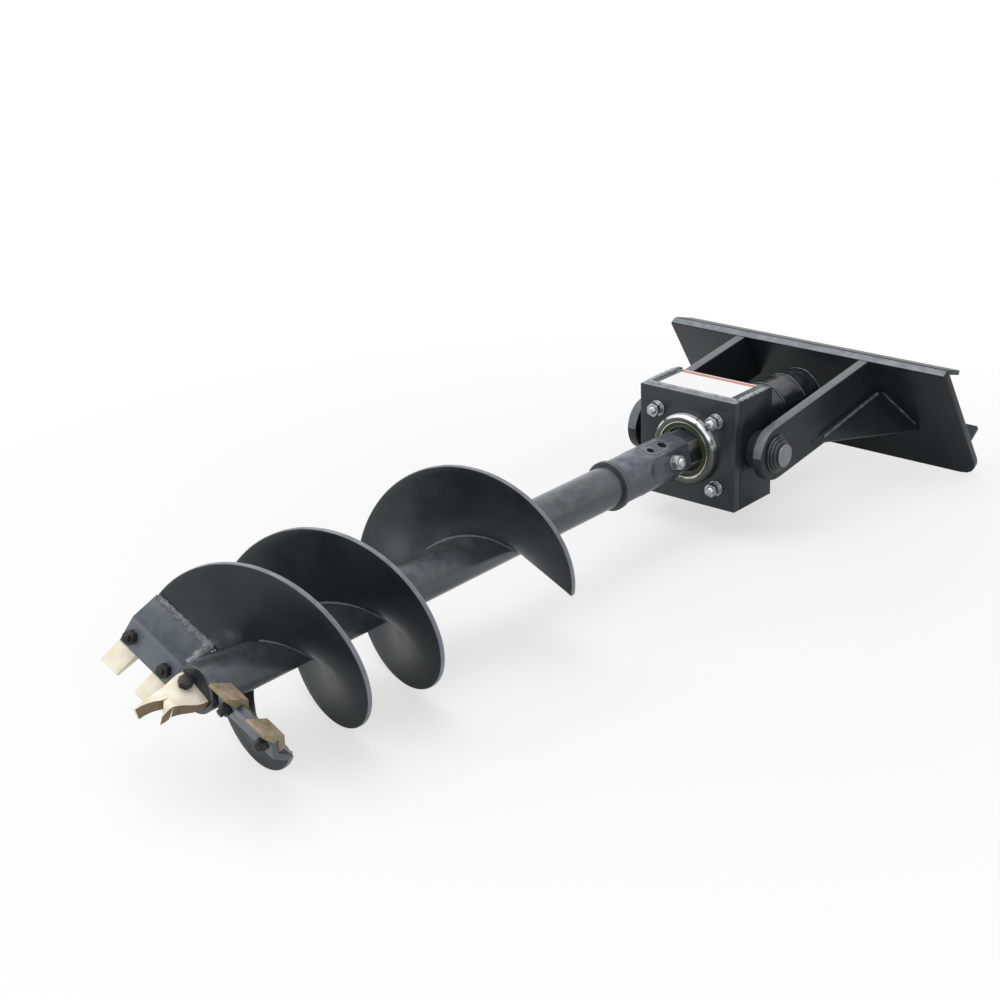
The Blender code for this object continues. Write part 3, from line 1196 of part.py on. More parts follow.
for name, side in (("left", -1), ("right", 1)):
    mesh = gusset_mesh()
    arm_room, plate_room = gusset_trim()
    if side < 0:
        mesh = mirrored(mesh)
        arm_room = mirrored(arm_room)
        plate_room = mirrored(plate_room)
    part = add("hitch_gusset_" + name, mesh, FRAME, PAINT)
    carve(part, tool("arm_room_" + name, arm_room, FRAME))
    carve(part, tool("plate_room_" + name, plate_room, FRAME))

bpy.context.view_layer.update()
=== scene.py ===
# %% [markdown]
# # An earth auger drive, dressed for its picture
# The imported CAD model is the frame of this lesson. Its solids are true in size,
# but they are faceted and bare. Here each visible piece gets its smooth shape,
# its rounded edges, its welds and its finish, and the light of a soft studio.
# Every length is in metres. The auger's tip points to -Y and +Z is up.

import json
import math

import bpy
from mathutils import Matrix, Vector

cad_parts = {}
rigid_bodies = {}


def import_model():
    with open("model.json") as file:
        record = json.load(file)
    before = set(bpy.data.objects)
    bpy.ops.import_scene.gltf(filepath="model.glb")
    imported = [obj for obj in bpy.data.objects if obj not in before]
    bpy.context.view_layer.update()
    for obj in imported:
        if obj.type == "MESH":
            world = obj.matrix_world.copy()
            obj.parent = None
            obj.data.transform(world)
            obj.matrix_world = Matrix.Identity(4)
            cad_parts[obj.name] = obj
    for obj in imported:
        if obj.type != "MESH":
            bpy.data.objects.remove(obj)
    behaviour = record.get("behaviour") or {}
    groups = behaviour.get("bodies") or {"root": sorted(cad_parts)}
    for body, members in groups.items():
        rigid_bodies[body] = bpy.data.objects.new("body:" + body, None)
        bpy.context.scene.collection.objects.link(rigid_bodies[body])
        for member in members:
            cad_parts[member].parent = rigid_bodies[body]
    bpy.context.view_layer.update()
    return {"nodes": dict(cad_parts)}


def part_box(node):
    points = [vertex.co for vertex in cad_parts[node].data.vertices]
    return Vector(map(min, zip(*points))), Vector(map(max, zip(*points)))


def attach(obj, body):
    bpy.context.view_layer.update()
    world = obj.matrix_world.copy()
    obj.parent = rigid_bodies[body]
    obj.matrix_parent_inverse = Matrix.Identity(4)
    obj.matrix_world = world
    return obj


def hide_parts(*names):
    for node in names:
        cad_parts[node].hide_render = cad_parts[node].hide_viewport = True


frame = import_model()

# %% [markdown]
# ## Places that many pieces share
# The auger, the hub and the motor all lie on one level axis, so a point is
# easiest to give as (right, along, up) from the middle of the drive box's front
# face. The box's front plate tells where that is.

# %% The axis and the drive box's front
plate_low, plate_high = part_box("box_front_plate")
AXIS = Vector((0, plate_low[1], (plate_low[2] + plate_high[2]) / 2))
BOX_HALF = (plate_high[0] - plate_low[0]) / 2
pin_low, pin_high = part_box("trunnion_right")
PIVOT = Vector((0, (pin_low[1] + pin_high[1]) / 2, AXIS.z))
print("axis point", [round(c, 4) for c in AXIS], "box half width", round(BOX_HALF, 4))


def at(right, along, up):
    """A point given from the middle of the drive box's front face."""
    return AXIS + Vector((right, along, up))


# %% [markdown]
# ## Camera
# The photograph looks down at the auger from the right of its tip. The lens and
# the place were worked out from the box's corners, the flights' rims and the
# hitch plate's edges, so the camera only has to be put there.

# %% Place the camera
HALF_PICTURE, FOCAL_LENGTH = 500, 1962.24  # both in pixels
VIEW_RIGHT = Vector((0.76197682, 0.64679601, -0.03234572))
VIEW_DOWN = Vector((0.21860623, -0.30390798, -0.92728165))
VIEW_AHEAD = Vector((-0.60959219, 0.69949615, -0.37296448))
CAMERA_SPOT = at(1.889415, -2.677316, 1.222626)
bpy.ops.object.camera_add(location=CAMERA_SPOT)
camera = bpy.context.object
camera.name = "camera"
axes = Matrix((VIEW_RIGHT, -VIEW_DOWN, -VIEW_AHEAD)).transposed()
camera.rotation_euler = axes.to_euler()
camera.data.angle = 2 * math.atan(HALF_PICTURE / FOCAL_LENGTH)
camera.data.clip_end = 50
bpy.context.scene.camera = camera
print("lens angle", round(math.degrees(camera.data.angle), 2), "degrees")

# %% [markdown]
# ## Light, floor and background
# The real one was photographed outdoors under a bright sky, which draws pale
# strips along the black paint. Soft area lamps give the same strips. The world
# is white wherever the camera or a mirror-like surface sees it, and a calmer
# grey where it lights the object, so no surface is washed out.

# %% A tool for shader nodes
def add_node(tree, kind, values=(), **settings):
    """A shader node with its settings and the values of its open inputs."""
    node = tree.nodes.new(kind)
    for setting, value in settings.items():
        setattr(node, setting, value)
    for socket, value in values:
        node.inputs[socket].default_value = value
    return node


# %% World
WORLD_ON_OBJECT = 0.55
world = bpy.context.scene.world or bpy.data.worlds.new("world")
bpy.context.scene.world = world
world.use_nodes = True
tree = world.node_tree
tree.nodes.clear()
seen = add_node(tree, "ShaderNodeLightPath")
either = add_node(tree, "ShaderNodeMath", operation="MAXIMUM")
any_ray = add_node(tree, "ShaderNodeMath", operation="MAXIMUM")
strength = add_node(tree, "ShaderNodeMapRange", (("To Min", WORLD_ON_OBJECT), ("To Max", 1.0)))
background = add_node(tree, "ShaderNodeBackground", (("Color", (1, 1, 1, 1)),))
output = add_node(tree, "ShaderNodeOutputWorld")
tree.links.new(seen.outputs["Is Camera Ray"], either.inputs[0])
tree.links.new(seen.outputs["Is Glossy Ray"], either.inputs[1])
tree.links.new(either.outputs[0], any_ray.inputs[0])
tree.links.new(seen.outputs["Is Transmission Ray"], any_ray.inputs[1])
tree.links.new(any_ray.outputs[0], strength.inputs["Value"])
tree.links.new(strength.outputs[0], background.inputs["Strength"])
tree.links.new(background.outputs[0], output.inputs["Surface"])
bpy.context.scene.view_settings.view_transform = "Standard"
print("world ready")


# %% Lamps
def soft_lamp(name, spot, target, size, power):
    """A square lamp at a spot, turned towards a target."""
    bpy.ops.object.light_add(type="AREA", location=spot)
    lamp = bpy.context.object
    lamp.name = name
    lamp.data.size = size
    lamp.data.energy = power
    lamp.rotation_euler = (Vector(target) - Vector(spot)).to_track_quat("-Z", "Y").to_euler()
    return lamp


soft_lamp("sky_lamp", (-0.5, -0.3, 3.2), (0, -0.1, 0.15), 2.4, 42)
soft_lamp("side_lamp", (2.6, -1.8, 1.5), (0, -0.2, 0.15), 1.4, 12)
soft_lamp("tip_lamp", (-1.4, -2.6, 1.6), (0, -0.6, 0.15), 1.2, 12)

# %% [markdown]
# ## Small tools for making pieces
# A drawn outline, a turned piece and a plate cover most of a machine like this.
# Each starts as a plain square that is merged to one corner and drawn out
# corner by corner, as one would do by hand.


# %% Tools: start fresh, draw a line, finish a piece
def nothing_selected():
    if bpy.context.object and bpy.context.object.mode != "OBJECT":
        bpy.ops.object.mode_set(mode="OBJECT")
    bpy.ops.object.select_all(action="DESELECT")


def line_of(name, points):
    """A path of edges through the points, in edit mode, with its last corner selected."""
    nothing_selected()
    bpy.ops.mesh.primitive_plane_add(size=0.001, location=(0, 0, 0))
    piece = bpy.context.object
    piece.name = name
    piece.data.name = name
    bpy.ops.object.mode_set(mode="EDIT")
    bpy.ops.mesh.select_all(action="SELECT")
    bpy.ops.mesh.merge(type="CENTER")
    bpy.ops.transform.translate(value=points[0])
    for start, end in zip(points, points[1:]):
        step = Vector(end) - Vector(start)
        bpy.ops.mesh.extrude_vertices_move(TRANSFORM_OT_translate={"value": step})
    return piece


def finished(piece, body, look, stands_for=(), smooth=35):
    """Give a piece its shading, its material and its body, and hide the CAD nodes it stands for."""
    nothing_selected()
    piece.select_set(True)
    bpy.context.view_layer.objects.active = piece
    bpy.ops.object.transform_apply(location=True, rotation=True, scale=True)
    if smooth:
        bpy.ops.object.shade_smooth_by_angle(angle=math.radians(smooth))
    piece.data.materials.clear()
    piece.data.materials.append(look)
    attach(piece, body)
    if stands_for:
        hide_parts(*stands_for)
    return piece


def outward(piece):
    """Merge doubles and point the faces outwards, in object mode."""
    nothing_selected()
    piece.select_set(True)
    bpy.context.view_layer.objects.active = piece
    bpy.ops.object.mode_set(mode="EDIT")
    bpy.ops.mesh.select_all(action="SELECT")
    bpy.ops.mesh.remove_doubles(threshold=0.00002)
    bpy.ops.mesh.normals_make_consistent(inside=False)
    bpy.ops.object.mode_set(mode="OBJECT")


def apply_all(piece):
    nothing_selected()
    piece.select_set(True)
    bpy.context.view_layer.objects.active = piece
    for step in list(piece.modifiers):
        bpy.ops.object.modifier_apply(modifier=step.name)


# %% Tools: turned pieces, plates and bevels
def turned(name, outline, centre, way, steps=96):
    """An outline of (distance along, radius) turned round the way through the centre."""
    way = Vector(way).normalized()
    side = way.orthogonal().normalized()
    points = [Vector(centre) + way * along + side * radius for along, radius in outline]
    piece = line_of(name, points)
    bpy.ops.mesh.select_all(action="SELECT")
    bpy.ops.mesh.spin(steps=steps, angle=math.tau, center=centre, axis=way)
    bpy.ops.object.mode_set(mode="OBJECT")
    outward(piece)
    return piece


def plate(name, corners, depth):
    """A flat outline of points, filled and drawn out by a depth vector."""
    piece = line_of(name, list(corners) + [corners[0]])
    bpy.ops.mesh.select_all(action="SELECT")
    bpy.ops.mesh.remove_doubles(threshold=0.00002)
    bpy.ops.mesh.edge_face_add()
    bpy.ops.mesh.select_all(action="SELECT")
    bpy.ops.mesh.extrude_region_move(TRANSFORM_OT_translate={"value": depth})
    bpy.ops.object.mode_set(mode="OBJECT")
    outward(piece)
    return piece


def bevelled(piece, width, segments=3, angle=30):
    step = piece.modifiers.new("rounded_edges", "BEVEL")
    step.width = width
    step.segments = segments
    step.limit_method = "ANGLE"
    step.angle_limit = math.radians(angle)
    step.use_clamp_overlap = True
    apply_all(piece)
    return piece


def dressed(node, body, look, width=0.0012):
    """A clean copy of a CAD node with rounded edges, which then stands for the node."""
    nothing_selected()
    source = frame["nodes"][node]
    source.select_set(True)
    bpy.context.view_layer.objects.active = source
    bpy.ops.object.duplicate()
    piece = bpy.context.object
    piece.name = node + "_dressed"
    piece.data.name = piece.name
    bpy.ops.object.parent_clear(type="CLEAR_KEEP_TRANSFORM")
    bpy.ops.object.mode_set(mode="EDIT")
    bpy.ops.mesh.select_all(action="SELECT")
    bpy.ops.mesh.remove_doubles(threshold=0.00002)
    bpy.ops.mesh.dissolve_limited(angle_limit=math.radians(0.5))
    bpy.ops.object.mode_set(mode="OBJECT")
    if width:
        bevelled(piece, width)
    return finished(piece, body, look, stands_for=(node,))


print("tools ready")

# %% [markdown]
# ## Finishes
# Most of the machine wears one coat of charcoal black paint, sprayed over
# castings, plates and welds alike. Up close it has fine orange peel, a little
# dust where it faces the sky, and rubbed patches. A node group makes those
# masks once, and each material places it with its own values. Paler and
# darker copies of the coat paint light and shade: painted highlights on lit
# edges and welds, painted shade on shaded plates.


# %% A group for worn, dusty surfaces
def surface_group():
    """Colour, roughness and height of a sprayed or plated surface."""
    group = bpy.data.node_groups.new("worn_surface", "ShaderNodeTree")
    sockets = group.interface
    for label, kind, value in (("Base", "NodeSocketColor", (0.04, 0.04, 0.04, 1)),
                               ("Stain", "NodeSocketColor", (0.1, 0.1, 0.1, 1)),
                               ("Dust", "NodeSocketColor", (0.35, 0.34, 0.32, 1)),
                               ("Stain Amount", "NodeSocketFloat", 0.4),
                               ("Dust Amount", "NodeSocketFloat", 0.2),
                               ("Patch Size", "NodeSocketFloat", 12.0),
                               ("Grain Size", "NodeSocketFloat", 900.0),
                               ("Smooth", "NodeSocketFloat", 0.3), ("Rough", "NodeSocketFloat", 0.5)):
        socket = sockets.new_socket(label, in_out="INPUT", socket_type=kind)
        socket.default_value = value
    for label, kind in (("Color", "NodeSocketColor"), ("Roughness", "NodeSocketFloat"),
                        ("Height", "NodeSocketFloat")):
        sockets.new_socket(label, in_out="OUTPUT", socket_type=kind)
    link = group.links.new
    enter = add_node(group, "NodeGroupInput")
    leave = add_node(group, "NodeGroupOutput")
    place = add_node(group, "ShaderNodeTexCoord")
    patches = add_node(group, "ShaderNodeTexNoise", (("Detail", 6), ("Roughness", 0.62)))
    grain = add_node(group, "ShaderNodeTexNoise", (("Detail", 3),))
    specks = add_node(group, "ShaderNodeTexNoise", (("Detail", 8), ("Scale", 55)))
    for noise in (patches, grain, specks):
        link(place.outputs["Object"], noise.inputs["Vector"])
    link(enter.outputs["Patch Size"], patches.inputs["Scale"])
    link(enter.outputs["Grain Size"], grain.inputs["Scale"])

    def ranged(source, low, high):
        """A source's values from low to high, spread from 0 to 1."""
        node = add_node(group, "ShaderNodeMapRange", (("From Min", low), ("From Max", high)))
        link(source, node.inputs["Value"])
        return node.outputs[0]

    def product(first, second):
        node = add_node(group, "ShaderNodeMath", operation="MULTIPLY")
        link(first, node.inputs[0])
        link(second, node.inputs[1])
        return node.outputs[0]

    def mixed(amount, under, over):
        node = add_node(group, "ShaderNodeMix", data_type="RGBA")
        link(amount, node.inputs["Factor"])
        link(under, node.inputs["A"])
        link(over, node.inputs["B"])
        return node.outputs["Result"]

    stain_mask = product(ranged(patches.outputs["Fac"], 0.42, 0.68), enter.outputs["Stain Amount"])
    stained = mixed(stain_mask, enter.outputs["Base"], enter.outputs["Stain"])
    facing = add_node(group, "ShaderNodeNewGeometry")
    split = add_node(group, "ShaderNodeSeparateXYZ")
    link(facing.outputs["Normal"], split.inputs[0])
    dusty = product(ranged(split.outputs["Z"], 0.1, 0.9), ranged(specks.outputs["Fac"], 0.35, 0.7))
    covered = mixed(product(dusty, enter.outputs["Dust Amount"]), stained, enter.outputs["Dust"])
    shine = add_node(group, "ShaderNodeMapRange")
    link(patches.outputs["Fac"], shine.inputs["Value"])
    link(enter.outputs["Smooth"], shine.inputs["To Min"])
    link(enter.outputs["Rough"], shine.inputs["To Max"])
    height = add_node(group, "ShaderNodeMath", ((1, 0.6),), operation="MULTIPLY_ADD")
    link(grain.outputs["Fac"], height.inputs[0])
    link(patches.outputs["Fac"], height.inputs[2])
    link(covered, leave.inputs["Color"])
    link(shine.outputs[0], leave.inputs["Roughness"])
    link(height.outputs[0], leave.inputs["Height"])
    return group


WORN = surface_group()


def finish(name, values, metallic, bump, reach, coat):
    """A material that places the worn surface group with its own values."""
    base, stain, dust, stain_amount, dust_amount, patch, grain, smooth, rough = values
    made = bpy.data.materials.new(name)
    made.use_nodes = True
    tree = made.node_tree
    shader = tree.nodes["Principled BSDF"]
    worn = add_node(tree, "ShaderNodeGroup", node_tree=WORN)
    for label, value in (("Base", (*base, 1)), ("Stain", (*stain, 1)), ("Dust", (*dust, 1)),
                         ("Stain Amount", stain_amount), ("Dust Amount", dust_amount),
                         ("Patch Size", patch), ("Grain Size", grain), ("Smooth", smooth),
                         ("Rough", rough)):
        worn.inputs[label].default_value = value
    relief = add_node(tree, "ShaderNodeBump", (("Strength", bump), ("Distance", reach)))
    tree.links.new(worn.outputs["Height"], relief.inputs["Height"])
    tree.links.new(relief.outputs["Normal"], shader.inputs["Normal"])
    tree.links.new(worn.outputs["Color"], shader.inputs["Base Color"])
    tree.links.new(worn.outputs["Roughness"], shader.inputs["Roughness"])
    shader.inputs["Metallic"].default_value = metallic
    shader.inputs["Coat Weight"].default_value = coat
    shader.inputs["Coat Roughness"].default_value = 0.2
    return made


# %% The finishes themselves
# name: base, stain, dust, stain amount, dust amount, patch size, grain size, smooth, rough
LOOKS = {
    "charcoal_paint": ((0.024, 0.027, 0.032), (0.042, 0.046, 0.052), (0.17, 0.17, 0.18),
                       0.6, 0.10, 14, 700, 0.24, 0.42),
    # a darker copy of the charcoal paint: painted shade for plates that lie in shade
    "dark_paint": ((0.012, 0.0135, 0.016), (0.022, 0.025, 0.029), (0.14, 0.14, 0.15),
                   0.6, 0.12, 14, 700, 0.26, 0.44),
    "flight_paint": ((0.016, 0.018, 0.021), (0.030, 0.033, 0.038), (0.16, 0.16, 0.17),
                     0.6, 0.16, 14, 600, 0.24, 0.5),
    "stem_paint": ((0.060, 0.066, 0.076), (0.080, 0.088, 0.100), (0.34, 0.37, 0.42),
                   0.4, 0.22, 5, 500, 0.16, 0.30),
    "hub_paint": ((0.070, 0.077, 0.094), (0.100, 0.110, 0.132), (0.30, 0.33, 0.40),
                  0.4, 0.45, 9, 800, 0.18, 0.34),
    "holder_paint": ((0.040, 0.052, 0.064), (0.060, 0.075, 0.090), (0.30, 0.32, 0.36),
                     0.5, 0.2, 20, 800, 0.26, 0.42),
    # a lighter copy of the holder paint: painted light on the holders' lit front faces
    "holder_front": ((0.125, 0.148, 0.172), (0.130, 0.150, 0.172), (0.30, 0.32, 0.36),
                     0.5, 0.2, 20, 800, 0.26, 0.42),
    # the teeth's zinc darkened to tan: painted shade for the right holder's teeth
    "tan_zinc": ((0.235, 0.190, 0.100), (0.130, 0.105, 0.050), (0.66, 0.50, 0.47),
                 0.6, 0.6, 45, 900, 0.3, 0.5),
    "collar_paint": ((0.055, 0.060, 0.070), (0.085, 0.092, 0.105), (0.25, 0.26, 0.28),
                     0.5, 0.2, 20, 800, 0.24, 0.4),
    # a pale grey-blue: painted highlight on edges, rims and ridges that catch the sky's light
    "rim_paint": ((0.150, 0.165, 0.190), (0.235, 0.250, 0.280), (0.45, 0.46, 0.48),
                  0.6, 0.4, 40, 500, 0.30, 0.5),
    # a lighter grey: painted light on the arms' faces that look up towards the sky
    "strip_paint": ((0.130, 0.145, 0.155), (0.200, 0.215, 0.230), (0.22, 0.22, 0.23),
                    0.5, 0.3, 20, 600, 0.26, 0.46),
    "ring_paint": ((0.018, 0.019, 0.021), (0.040, 0.042, 0.046), (0.35, 0.35, 0.36),
                   0.6, 0.5, 40, 700, 0.22, 0.4),
    "bright_zinc": ((0.50, 0.52, 0.54), (0.30, 0.31, 0.33), (0.7, 0.7, 0.7),
                    0.6, 0.2, 60, 1500, 0.22, 0.4),
    "cream_zinc": ((0.86, 0.79, 0.62), (0.66, 0.56, 0.38), (0.95, 0.92, 0.83),
                   0.5, 0.8, 35, 900, 0.35, 0.6),
    "olive_zinc": ((0.055, 0.062, 0.034), (0.040, 0.042, 0.022), (0.3, 0.3, 0.2),
                   0.5, 0.1, 30, 900, 0.3, 0.5),
    # dark steel whose upward faces turn near white through the dust mask: a painted highlight
    "nose_steel": ((0.10, 0.105, 0.095), (0.06, 0.06, 0.05), (0.98, 0.98, 0.99),
                   0.5, 8.0, 25, 1200, 0.18, 0.34),
    "ground_steel": ((0.66, 0.66, 0.66), (0.50, 0.49, 0.47), (0.7, 0.7, 0.7),
                     0.4, 0.1, 25, 1200, 0.25, 0.42),
    "dull_steel": ((0.55, 0.56, 0.57), (0.40, 0.40, 0.40), (0.6, 0.6, 0.6),
                   0.4, 0.1, 25, 1200, 0.35, 0.5),
    "pin_steel": ((0.24, 0.26, 0.26), (0.16, 0.17, 0.17), (0.4, 0.4, 0.4),
                  0.5, 0.2, 40, 1200, 0.3, 0.5),
    # welds far paler than the paint sprayed over them: a painted highlight along each bead
    "painted_weld": ((0.17, 0.18, 0.20), (0.40, 0.42, 0.46), (0.6, 0.6, 0.62),
                     0.8, 1.0, 160, 900, 0.2, 0.45),
    "dusty_weld": ((0.030, 0.033, 0.037), (0.22, 0.23, 0.24), (0.25, 0.26, 0.27),
                   0.7, 0.4, 90, 900, 0.25, 0.5),
    # a tan-brown: painted shade for the pilot's shaded sides and its down-turned prong
    "rust_band": ((0.19, 0.13, 0.075), (0.11, 0.07, 0.04), (0.4, 0.33, 0.24),
                  0.6, 0.3, 60, 900, 0.4, 0.6),
    "label_white": ((0.94, 0.94, 0.94), (0.88, 0.88, 0.88), (0.97, 0.97, 0.96),
                    0.4, 0.3, 12, 900, 0.35, 0.5),
    "label_salmon": ((0.62, 0.20, 0.15), (0.55, 0.17, 0.13), (0.7, 0.4, 0.35),
                     0.4, 0.2, 30, 900, 0.35, 0.5),
    "black_bolt": ((0.020, 0.020, 0.021), (0.06, 0.055, 0.05), (0.15, 0.15, 0.15),
                   0.5, 0.2, 60, 1000, 0.3, 0.5),
    "seal_rubber": ((0.015, 0.015, 0.015), (0.03, 0.03, 0.03), (0.1, 0.1, 0.1),
                    0.4, 0.1, 40, 900, 0.5, 0.7),
    "bearing_bronze": ((0.45, 0.27, 0.10), (0.3, 0.17, 0.07), (0.5, 0.4, 0.3),
                       0.4, 0.1, 40, 900, 0.3, 0.45),
    "black_film": ((0.012, 0.013, 0.015), (0.022, 0.024, 0.028), (0.14, 0.14, 0.15),
                   0.6, 0.3, 40, 300, 0.14, 0.36),
}
METALS = {"bright_zinc": 1.0, "cream_zinc": 0.1, "olive_zinc": 0.5, "nose_steel": 0.45, "ground_steel": 0.9,
          "dull_steel": 0.6, "pin_steel": 0.5, "stem_paint": 0.5, "hub_paint": 0.4, "bearing_bronze": 1.0,
          "black_bolt": 0.5}
COATS = {"stem_paint": 0.35, "hub_paint": 0.25, "flight_paint": 0.10, "charcoal_paint": 0.12,
         "dark_paint": 0.06, "black_film": 0.4, "ring_paint": 0.3, "rim_paint": 0.1, "painted_weld": 0.3}
# strength and depth in metres of the fine relief, where it isn't the usual one
USUAL_BUMP = (0.1, 0.0004)
BUMPS = {"painted_weld": (0.5, 0.0008), "black_film": (0.35, 0.001), "hub_paint": (0.3, 0.0004),
         "cream_zinc": (0.2, 0.0005)}
DULL = ("charcoal_paint", "dark_paint", "flight_paint", "ring_paint", "black_film", "strip_paint")
DULL_SPECULAR = 0.3
looks = {}
for label, values in LOOKS.items():
    bump, reach = BUMPS.get(label, USUAL_BUMP)
    looks[label] = finish(label, values, METALS.get(label, 0.0), bump, reach, COATS.get(label, 0.0))
    if label in DULL:
        shader = looks[label].node_tree.nodes["Principled BSDF"]
        shader.inputs["Specular IOR Level"].default_value = DULL_SPECULAR
black_paint, dark_paint, flight_paint = looks["charcoal_paint"], looks["dark_paint"], looks["flight_paint"]
stem_paint, hub_paint, collar_paint = looks["stem_paint"], looks["hub_paint"], looks["collar_paint"]
rim_paint, strip_paint, ring_paint = looks["rim_paint"], looks["strip_paint"], looks["ring_paint"]
zinc, cream_zinc, olive_zinc = looks["bright_zinc"], looks["cream_zinc"], looks["olive_zinc"]
nose_steel, ground_steel, dull_steel = looks["nose_steel"], looks["ground_steel"], looks["dull_steel"]
pin_steel, weld_highlight_look, rust_band = looks["pin_steel"], looks["painted_weld"], looks["rust_band"]
holder_paint, holder_front, tan_zinc = looks["holder_paint"], looks["holder_front"], looks["tan_zinc"]
dust_weld = looks["dusty_weld"]
label_white, label_salmon, black_bolt = looks["label_white"], looks["label_salmon"], looks["black_bolt"]
seal_rubber, bronze, film_black = looks["seal_rubber"], looks["bearing_bronze"], looks["black_film"]
print("finishes:", len(bpy.data.materials))

# %% [markdown]
# ## The flights
# Each flight is a helicoid pressed from plate: it turns round the stem and climbs
# at once. A flat grid is the quickest start for a wound or bent sheet, because
# every point of it can be moved to a turn and a radius. The front edge isn't
# radial. It lies on a straight line beside the axis, where the tooth holder is
# welded, so the first stretch blends from that line into the helix.

# %% Measures of the auger
RIM = 0.1524
PITCH = 0.305
FLIGHT_PLATE = 0.008
STEM = 0.0365
STEM_BORE = 0.0300
STEM_TIP, STEM_TOP = -1.1555, -0.2226
COLLAR_TIP = -0.2326
HEAD_TURN = math.radians(-64.7)
HEAD_SETBACK = 0.027
HEAD_ALONG = -1.1005
MAIN_TOP = -0.904


def clock(angle):
    """Straight out from the axis, at an angle from the top towards +X."""
    return Vector((math.sin(angle), 0, math.cos(angle)))


OUT = clock(HEAD_TURN)
AHEAD = clock(HEAD_TURN - math.pi / 2)
TIPWARD = Vector((0, -1, 0))
ALONG = Vector((0, 1, 0))
UP = Vector((0, 0, 1))
print("the head's edge points", [round(c, 3) for c in OUT])


# %% A grid that is moved into shape
def wound(name, across, along, place):
    """A flat grid whose points go to place(share across, share along)."""
    nothing_selected()
    bpy.ops.mesh.primitive_grid_add(x_subdivisions=across, y_subdivisions=along, size=1, location=(0, 0, 0))
    piece = bpy.context.object
    piece.name = name
    piece.data.name = name
    for corner in piece.data.vertices:
        corner.co = place(corner.co.x + 0.5, corner.co.y + 0.5)
    return piece


def second_finish(piece, look, wanted):
    """Faces that wanted(middle, normal) picks get one more finish."""
    piece.data.materials.append(look)
    slot = len(piece.data.materials) - 1
    picked = [face for face in piece.data.polygons if wanted(face.center, face.normal)]
    for face in picked:
        face.material_index = slot
    print(piece.name, "faces", len(piece.data.polygons), "with the second finish", len(picked))
    return piece


def from_axis(point):
    return math.hypot(point.x - AXIS.x, point.z - AXIS.z)


# %% The two flights
FLIGHT_ROOT = STEM - 0.0025


def flight(name, node, top, base_turn, first, last):
    """A helicoid between two turn angles, drawn forward to the head's straight edge."""
    lead = 12
    rows = lead + round(math.degrees(last - first) / 2.5)

    def place(across, along):
        radius = FLIGHT_ROOT + (RIM - FLIGHT_ROOT) * across
        row = along * rows
        if row < lead:
            share = row / lead
            start = base_turn + HEAD_TURN + math.asin(HEAD_SETBACK / radius)
            turn = start + (first - start) * share
            forward = HEAD_ALONG - top
            climb = forward + (PITCH * first / math.tau - forward) * share
        else:
            turn = first + (last - first) * (row - lead) / (rows - lead)
            climb = PITCH * turn / math.tau
        return at(0, top + climb, 0) + clock(turn) * radius

    piece = wound(name, 10, rows, place)
    wall = piece.modifiers.new("thickness", "SOLIDIFY")
    wall.thickness = FLIGHT_PLATE
    wall.offset = 0
    apply_all(piece)
    outward(piece)
    bevelled(piece, 0.0014, 2, 50)
    finished(piece, "auger", flight_paint, stands_for=(node,), smooth=40)
    # The flight's outer rim gets the pale finish: a painted highlight.
    return second_finish(piece, rim_paint, lambda middle, normal: from_axis(middle) > RIM - 0.0016)


flight("main_flight", "flight_main", MAIN_TOP, -math.pi, math.radians(-185), math.radians(475))
flight("second_flight", "flight_short", MAIN_TOP - PITCH / 2, 0, math.radians(-5), math.radians(295))

# %% [markdown]
# ## Stem, collar and hub
# The stem is a plain drawn tube. At its top end sits a collar, then the cast hub:
# round at the collar and hexagonal where it takes the drive shaft. The hexagon's
# flats run out into the round neck, so the round body is intersected with a
# six-sided prism that flares at that end.


# %% Stem and collar
def axial(name, outline, steps=96):
    """A piece turned round the auger's axis from (along, radius) points."""
    return turned(name, outline, AXIS, ALONG, steps)


stem_line = [(STEM_TIP, STEM_BORE), (STEM_TIP, STEM - 0.0006), (STEM_TIP + 0.0006, STEM),
             (STEM_TOP, STEM), (STEM_TOP, STEM_BORE), (STEM_TIP, STEM_BORE)]
finished(axial("stem", stem_line), "auger", stem_paint, stands_for=("stem_tube",))
collar_line = [(COLLAR_TIP, 0.0366), (COLLAR_TIP, 0.0428), (COLLAR_TIP + 0.0007, 0.0435),
               (STEM_TOP - 0.0007, 0.0435), (STEM_TOP, 0.0428), (STEM_TOP, 0.0366), (COLLAR_TIP, 0.0366)]
finished(axial("collar", collar_line), "auger", collar_paint, stands_for=("stem_collar",))
print("stem and collar done")


# %% Tools for cutting pieces with each other
def combine(piece, other, operation):
    """Boolean of two pieces; the second one is used up."""
    step = piece.modifiers.new("combine", "BOOLEAN")
    step.operation = operation
    step.solver = "EXACT"
    step.object = other
    apply_all(piece)
    bpy.data.objects.remove(other)
    return piece


def rod(name, radius, centre, way, low, high, steps=48):
    """A plain round bar."""
    return turned(name, [(low, 0), (low, radius), (high, radius), (high, 0)], centre, way, steps)


def hexagon_at(centre, way, flats, first_corner):
    """Six corners round a way, the first at a given direction."""
    way = Vector(way).normalized()
    side = Vector(first_corner).normalized()
    other = way.cross(side)
    corner = flats / 2 / math.cos(math.pi / 6)
    return [Vector(centre) + side * corner * math.cos(math.tau * k / 6)
            + other * corner * math.sin(math.tau * k / 6) for k in range(6)]


